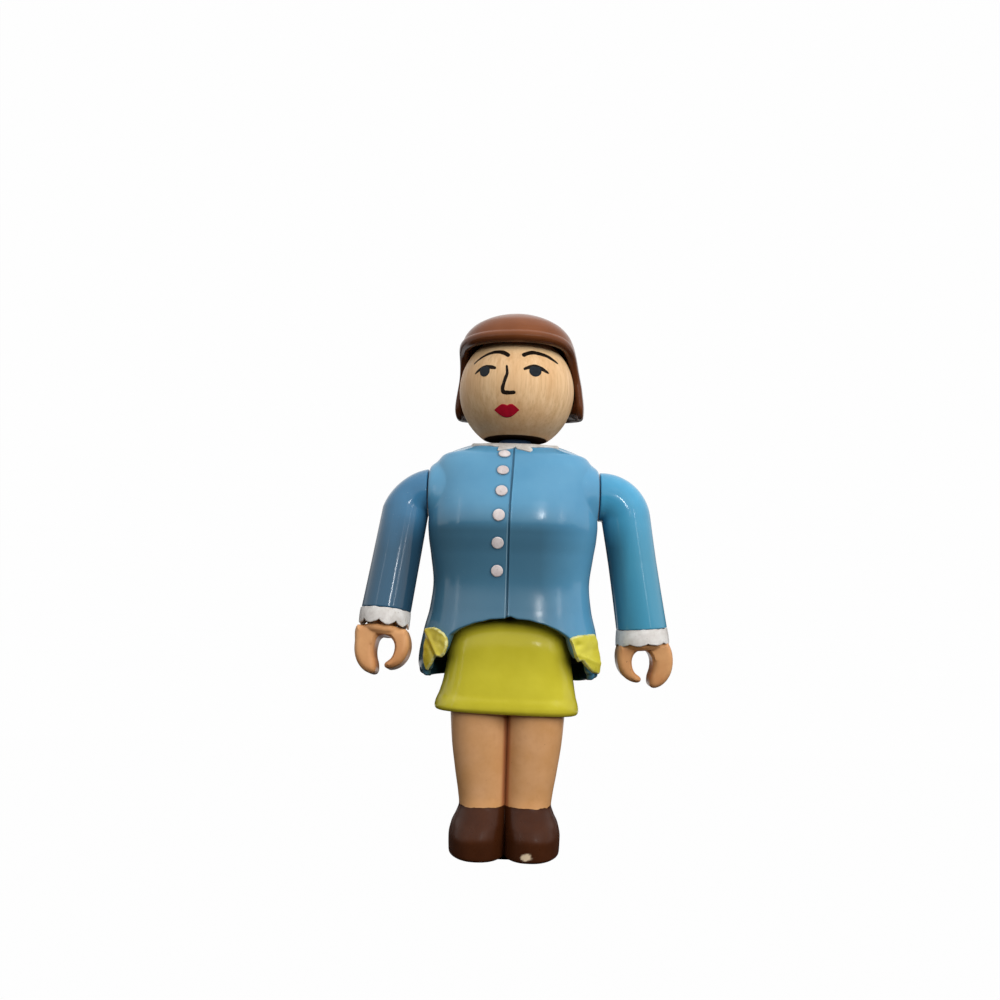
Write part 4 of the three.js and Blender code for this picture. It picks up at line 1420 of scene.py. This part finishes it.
def hair_column(share):
    """One column of the hair from the crown to its edge, round the edge and up inside."""
    roll = hair_roll(share)
    join, last, crown_turn = roll[0], roll[-1], math.pi * share
    column = [Vector((0, 0, HAIR["top"]))]
    for row in spread(72)[1:-1]:
        turn = lerp(crown_turn, turn_of(join), smoothstep(0.1, 1, row))
        column.append(hair_point(turn, lerp(HAIR["top"], join.z, row**1.25)))
    column += roll
    hollow = HAIR["hollow"]
    low = math.asin(clamp(last.z + 0.2, -hollow + 0.5, hollow - 0.5) / hollow)
    for row in spread(40)[1:-1]:
        angle = lerp(low, math.pi / 2, row)
        turn = lerp(math.atan2(last.x, -last.y), crown_turn, smoothstep(0, 1, row))
        reach = hollow * math.cos(angle)
        column.append(Vector((math.sin(turn) * reach, -math.cos(turn) * reach, hollow * math.sin(angle))))
    return column + [Vector((0, 0, hollow))]


def hair(material):
    """The bob: a helmet with a rolled fringe, side panels and a rounded edge."""
    half = [hair_column(share) for share in spread(190)]
    other = [[Vector((-p.x, p.y, p.z)) for p in column] for column in half[-2:0:-1]]
    place = head_turn()
    sweep = pole_sweep([[place @ p for p in column] for column in half + other])
    return piece("hair_bob", sweep, "head", material, ["hair_cap"])


def neck(material):
    """The neck with its flange below and the pin that holds the head above."""
    soft = 0.15
    radius, flange, bottom, step = NECK["radius"], NECK["flange"], NECK["bottom"], NECK["flange_top"]
    thin, top = SPIGOT["radius"], SPIGOT["top"]
    profile = [(0, bottom), (flange - soft, bottom), (flange, bottom + soft), (flange, step - soft)]
    profile += [(flange - soft, step), (radius, step), (radius, NECK_TOP - 0.2 - GAP)]
    profile += [(radius - 0.2, NECK_TOP - GAP), (thin, NECK_TOP - GAP), (thin, top - 0.3)]
    profile += [(thin - 0.3, top), (0, top)]
    return piece("neck_post", turned(profile), "head", material, ["neck_pin"])


# Skirt, legs and shoes


def skirt_ring(share, inset):
    """Half width, depth in front and behind, and height, from the top of the barrel to the hem."""
    hip, barrel = SKIRT["hip_half"], SKIRT["barrel"]
    if share < 0.5:
        t = 1 - share / 0.5
        angle, power = math.radians(SKIRT["barrel_end"] * t), 2 / SKIRT["barrel_power"]
        depth = (barrel - inset) * math.cos(angle) ** power
        height = (SKIRT["barrel_top"] - inset) * math.sin(angle) ** power
        return lerp(hip, SKIRT["top_half"], t ** SKIRT["narrowing"]) - inset, depth, depth, HIP_Z + height
    t = (share - 0.5) / 0.5
    flare = t ** SKIRT["flare"]
    half = lerp(hip, SKIRT["hem_half"] - 0.35, flare) - inset
    front = lerp(barrel, SKIRT["hem_front"] - 0.3, flare) - inset
    back = lerp(barrel, SKIRT["hem_back"] - 0.3, flare) - inset
    return half, front, back, HIP_Z - SKIRT["drop"] * t


def skirt_point(angle, share, inset=0.0, lift=0.0):
    """Point of the skirt, whose hem stands out more on the right and hangs lower on the left."""
    half, front, back, z = skirt_ring(share, inset)
    x, y = oval_point(angle, half, front, back, SKIRT["squareness"])
    wide = SKIRT["right_flare"] * smoothstep(0.7, 1, share) * clamp(-x / half)
    return x - wide, y, z + lift - SKIRT["hem_tilt"] * smoothstep(0.5, 1, share) * x / half


def rim_bulge(share):
    """How far the soft rim stands out near the hem, and turns in again below."""
    height = (1 - share) * 2 * SKIRT["drop"]
    across = (height - SKIRT["rim_height"]) / SKIRT["rim_height"]
    turned_in = 0.4 * clamp(1 - height / SKIRT["rim_turn"]) ** 2
    return SKIRT["rim"] * max(0.0, 1 - across * across) - turned_in


def skirt(material):
    """A hollow shell, round over the hip so that it can fold forward, with a rolled rim."""
    wall = SKIRT["wall"]
    half, front, back, z = skirt_ring(0, 0)
    columns = []
    for angle in full_turn(320):
        column = [(0, 0, z + 0.02)]
        for part in (0.4, 0.8):
            x, y = oval_point(angle, half * part, front * part, back * part, SKIRT["squareness"])
            column.append((x, y, z + 0.02 * (1 - part)))
        for share in spread(50, 0.0, 0.93) + spread(30, 0.932, 1.0):
            column.append(skirt_point(angle, share, -rim_bulge(share)))
        column += [skirt_point(angle, 1.0, inset, -0.12) for inset in (0.65, wall - 0.25)]
        column += [skirt_point(angle, share, wall) for share in reversed(spread(50))]
        column.append((0, 0, skirt_ring(0, wall)[3] - 0.02))
        columns.append(column)
    return piece("skirt_shell", pole_sweep(columns), "lower_body", material, ["skirt"])


def leg_ring(z, inset, around):
    """Outline of the two legs together, with the valleys where they meet."""
    half, front, back = smooth_row(LEG_STATIONS, z)
    center, power = half - LEGS["join"], LEGS["squareness"]
    half, front, back = half - inset, front - inset, back - inset
    start = math.acos(-(clamp(center / half, 0, 0.9999) ** (power / 2)))
    ring = []
    for angle in spread(around, -start, start):
        x, y = oval_point(angle, half, front, back, power)
        ring.append((max(x + center, 0.0), y, z))
    return ring + [(-x, y, height) for x, y, height in reversed(ring[1:-1])]


def leg_groove_shade(point):
    """How deep a point lies in the groove between the legs, for its painted shade."""
    return 1 - smoothstep(0.35, 1.1, abs(point[0]))


def shoe_paint(point):
    """Above a half the shoe's paint covers the skin."""
    x, y, z = point
    height = SHOES["height"] + 0.25 * wobble(x, y, 0, 2.2, 41) + 0.15 * wobble(x, y, 0, 0.8, 42)
    return clamp(0.5 + (height - z) * 0.6)


def shoe_chip(point):
    """The worn spot on the toe of the left shoe."""
    x, y, z = point
    away = math.hypot((x - SHOES["chip_x"]) / 1.15, (z - SHOES["chip_z"]) / 0.85)
    away += 0.35 * wobble(x, y, z, 0.9, 43)
    return (1 - smoothstep(0.75, 1.0, away)) if y < 0 else 0.0


def legs(material):
    """Both legs and shoes as one moulding: smooth rings from the soles up into the skirt."""
    around, edge, top = 120, LEGS["sole_edge"], LEGS["top"]
    levels = [(0.0, 3.0), (0.0, 1.2), (0.0, edge)]
    levels += [(edge - edge * math.cos(a), edge - edge * math.sin(a)) for a in spread(7, 0.25, math.pi / 2)]
    levels += [(z, 0.0) for z in spread(120, edge + 0.15, top)] + [(top, 1.0)]
    rings = [leg_ring(z, inset, around) for z, inset in levels]
    points = [p for ring in rings for p in ring]
    faces = side_faces(rings)
    count, last = len(rings[0]), around - 1
    for base in (0, len(points) - count):
        faces.append((base, base + 1, base + count - 1))
        faces += [
            (base + i, base + i + 1, base + count - i - 1, base + count - i) for i in range(1, last - 1)
        ]
        faces.append((base + last - 1, base + last, base + last + 1))
    attributes = {
        "groove_shade": [leg_groove_shade(p) for p in points],
        "shoe": [shoe_paint(p) for p in points],
        "chip": [shoe_chip(p) for p in points],
    }
    return piece("legs_and_shoes", (points, faces), "lower_body", material, ["legs"], attributes)


def leg_hub(material):
    """The block above the legs that turns on the hip pin."""
    radius, half, edge = HUB["radius"], HUB["half"], HUB["edge"]
    profile = [(-radius, HUB["bottom"])] + arc((0, HIP_Z), radius, 180, 0, 48) + [(radius, HUB["bottom"])]
    ends = [(-half, edge), (-half + 0.12, 0.12), (-half + edge, 0)]
    loops = []
    for x, inset in ends + [(-x, inset) for x, inset in reversed(ends)]:
        slim = 1 - inset / radius
        loops.append([(x, y * slim, HIP_Z + (z - HIP_Z) * slim) for y, z in profile])
    return piece("leg_hub", loop_sweep(loops), "lower_body", material)


# Stage, light and camera


def seen_share(tree):
    """1 for what the camera, reflections and see-through surfaces show, and 0 for light."""
    paths = tree.nodes.new("ShaderNodeLightPath").outputs
    seen = paths["Is Camera Ray"]
    for key in ("Is Glossy Ray", "Is Transmission Ray"):
        larger = tree.nodes.new("ShaderNodeMath")
        larger.operation = "MAXIMUM"
        tree.links.new(seen, larger.inputs[0])
        tree.links.new(paths[key], larger.inputs[1])
        seen = larger.outputs[0]
    return seen


def stage_material():
    """White to the camera and to reflections, and still able to take the figure's shadow."""
    n = Paint("stage_white")
    share = n.math("MULTIPLY", seen_share(n.tree), 0.99)
    glow = n.node("Emission", {"Color": (1, 1, 1, 1)})[1]
    both = n.node("MixShader", {0: share, 1: n.shader.outputs[0], 2: glow})[1]
    n.put(n.tree.nodes["Material Output"].inputs["Surface"], both)
    n.colour = n.span(n.noise(12, 2), 0.3, 0.7, 0.16, 0.2)
    n.gloss = 0.9
    return n.done()


def card_material():
    """Dark at the foot and fading away above, so that its reflection has a soft upper edge."""
    n = Paint("card_dark")
    n.colour = n.span(n.noise(9, 2), 0.3, 0.7, 0.012, 0.02)
    n.gloss = 0.9
    return n.done(Alpha=n.span(n.along("Z"), 70, 170, 1, 0))


def stage_sheet(name, points, faces, material):
    """An open sheet that isn't part of the figure, from points in metres."""
    mesh = bpy.data.meshes.new(name)
    mesh.from_pydata(points, [], faces)
    mesh.materials.append(material)
    sheet = add_object(name, mesh)
    return sheet


def floor(material):
    """A wide floor that curves up into a backdrop."""
    start, bend, half = FLOOR["bend_at"], FLOOR["bend"], FLOOR["half"]
    profile = [(FLOOR["near"], 0), (start, 0)]
    for a in spread(14, 0.1, math.pi / 2):
        profile.append((start + bend * math.sin(a), bend - bend * math.cos(a)))
    profile.append((start + bend, FLOOR["top"]))
    count = len(profile)
    points = [Vector((x, y, z - FLOOR["below"])) * MM for x in (-half, half) for y, z in profile]
    faces = [(i, i + 1, count + i + 1, count + i) for i in range(count - 1)]
    stage_sheet("backdrop", points, faces, material)


def dark_cards(material):
    """Dark panels out of the camera's view, which the glossy pieces reflect."""
    half, top, front, back = CARDS["half"], CARDS["top"], CARDS["front"], CARDS["back"]
    for name, near, far, height in (
        ("card_front", front, front, top),
        ("card_back", back, back, top),
        ("card_floor", front, CARDS["floor_back"], 0),
    ):
        corners = [(-half, near, 0), (half, near, 0), (half, far, height), (-half, far, height)]
        stage_sheet(name, corners, [(0, 1, 2, 3)], material).visible_camera = False


def lamp(name, at, size, watts, mirrored):
    """A rectangular lamp that points at the figure; only the mirrored ones show as reflections."""
    data = bpy.data.lights.new(name, "AREA")
    data.shape = "RECTANGLE"
    data.size, data.size_y = size
    data.energy = watts
    light = add_object(name, data)
    light.visible_glossy = mirrored
    light.location = at
    light.rotation_euler = (Vector(LAMP_TARGET) - Vector(at)).to_track_quat("-Z", "Y").to_euler()


def world_light():
    """Even light from all round, white to the camera and in reflections."""
    world = bpy.data.worlds.new("studio")
    bpy.context.scene.world = world
    world.use_nodes = True
    tree = world.node_tree
    background = tree.nodes["Background"]
    background.inputs["Color"].default_value = (1, 1, 1, 1)
    strength = tree.nodes.new("ShaderNodeMapRange")
    strength.inputs["To Min"].default_value = WORLD_STRENGTH
    tree.links.new(seen_share(tree), strength.inputs["Value"])
    tree.links.new(strength.outputs["Result"], background.inputs["Strength"])


def camera():
    """The photograph's view: a little below the middle of the figure, from the front."""
    data = bpy.data.cameras.new("camera")
    data.lens = CAMERA["lens"]
    data.sensor_width = CAMERA["sensor"]
    data.shift_x = CAMERA["shift_x"]
    data.shift_y = CAMERA["shift_y"]
    data.clip_start = CAMERA["nearest"]
    view = add_object("camera", data)
    view.location = CAMERA["at"]
    view.rotation_euler = (math.radians(90), math.radians(CAMERA["roll"]), 0)
    bpy.context.scene.camera = view


def build_figure():
    jacket = jacket_material()
    jacket_front(jacket)
    jacket_back(jacket)
    collar(white_material("collar_white", "dcd9d4", "b9b2aa"))
    button_white = white_material("button_white", "e0d8d6", "c3b4b2")
    for index in range(len(BUTTON_PLACES)):
        button(index, button_white)
    yellow = flap_material()
    for side in ("left", "right"):
        flap(side, yellow)
    sleeve("left", sleeve_material("sleeve_left_blue", "4a9dc2", "3f8db2", "468fac"))
    # The figure's right sleeve is a darker copy of the same blue: painted shade.
    sleeve("right", sleeve_material("sleeve_right_blue_painted_shade", "3f779c", "356a8d", "2c556f"))
    cuff_white = white_material("cuff_white", "e2dfdb", "c6c0ba")
    skin = skin_paint("hand_skin", "cf9a68", "bd8455").done(Specular_IOR_Level=0.3)
    for side in ("left", "right"):
        cuff(side, cuff_white)
        hand(side, skin)
    skirt(skirt_material())
    lower = leg_material()
    legs(lower)
    leg_hub(lower)
    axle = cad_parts["hip_axle"].data.materials
    axle.clear()
    axle.append(axle_material())
    neck(neck_material())
    head_ball(wood_material())
    hair(hair_material())
    line_paint = face_paint("face_line_paint", "1c140d", "120c07", 0.45)
    for name, points in FACE_STROKES.items():
        stroke(name, points, line_paint)
    pupil_paint = face_paint("pupil_paint", "23282d", "191d21", 0.4)
    for side in ("left", "right"):
        pupil(side, pupil_paint)
    lips(face_paint("lip_paint", "b0132a", "980f22", 0.4))


def light_and_stage():
    world_light()
    floor(stage_material())
    dark_cards(card_material())
    for lamps, mirrored in ((LAMPS, False), (MIRRORED_LAMPS, True)):
        for name, values in lamps.items():
            lamp(name, values["at"], values["size"], values["watts"], mirrored)


build_figure()
light_and_stage()
camera()
bpy.context.scene.view_settings.view_transform = "Standard"
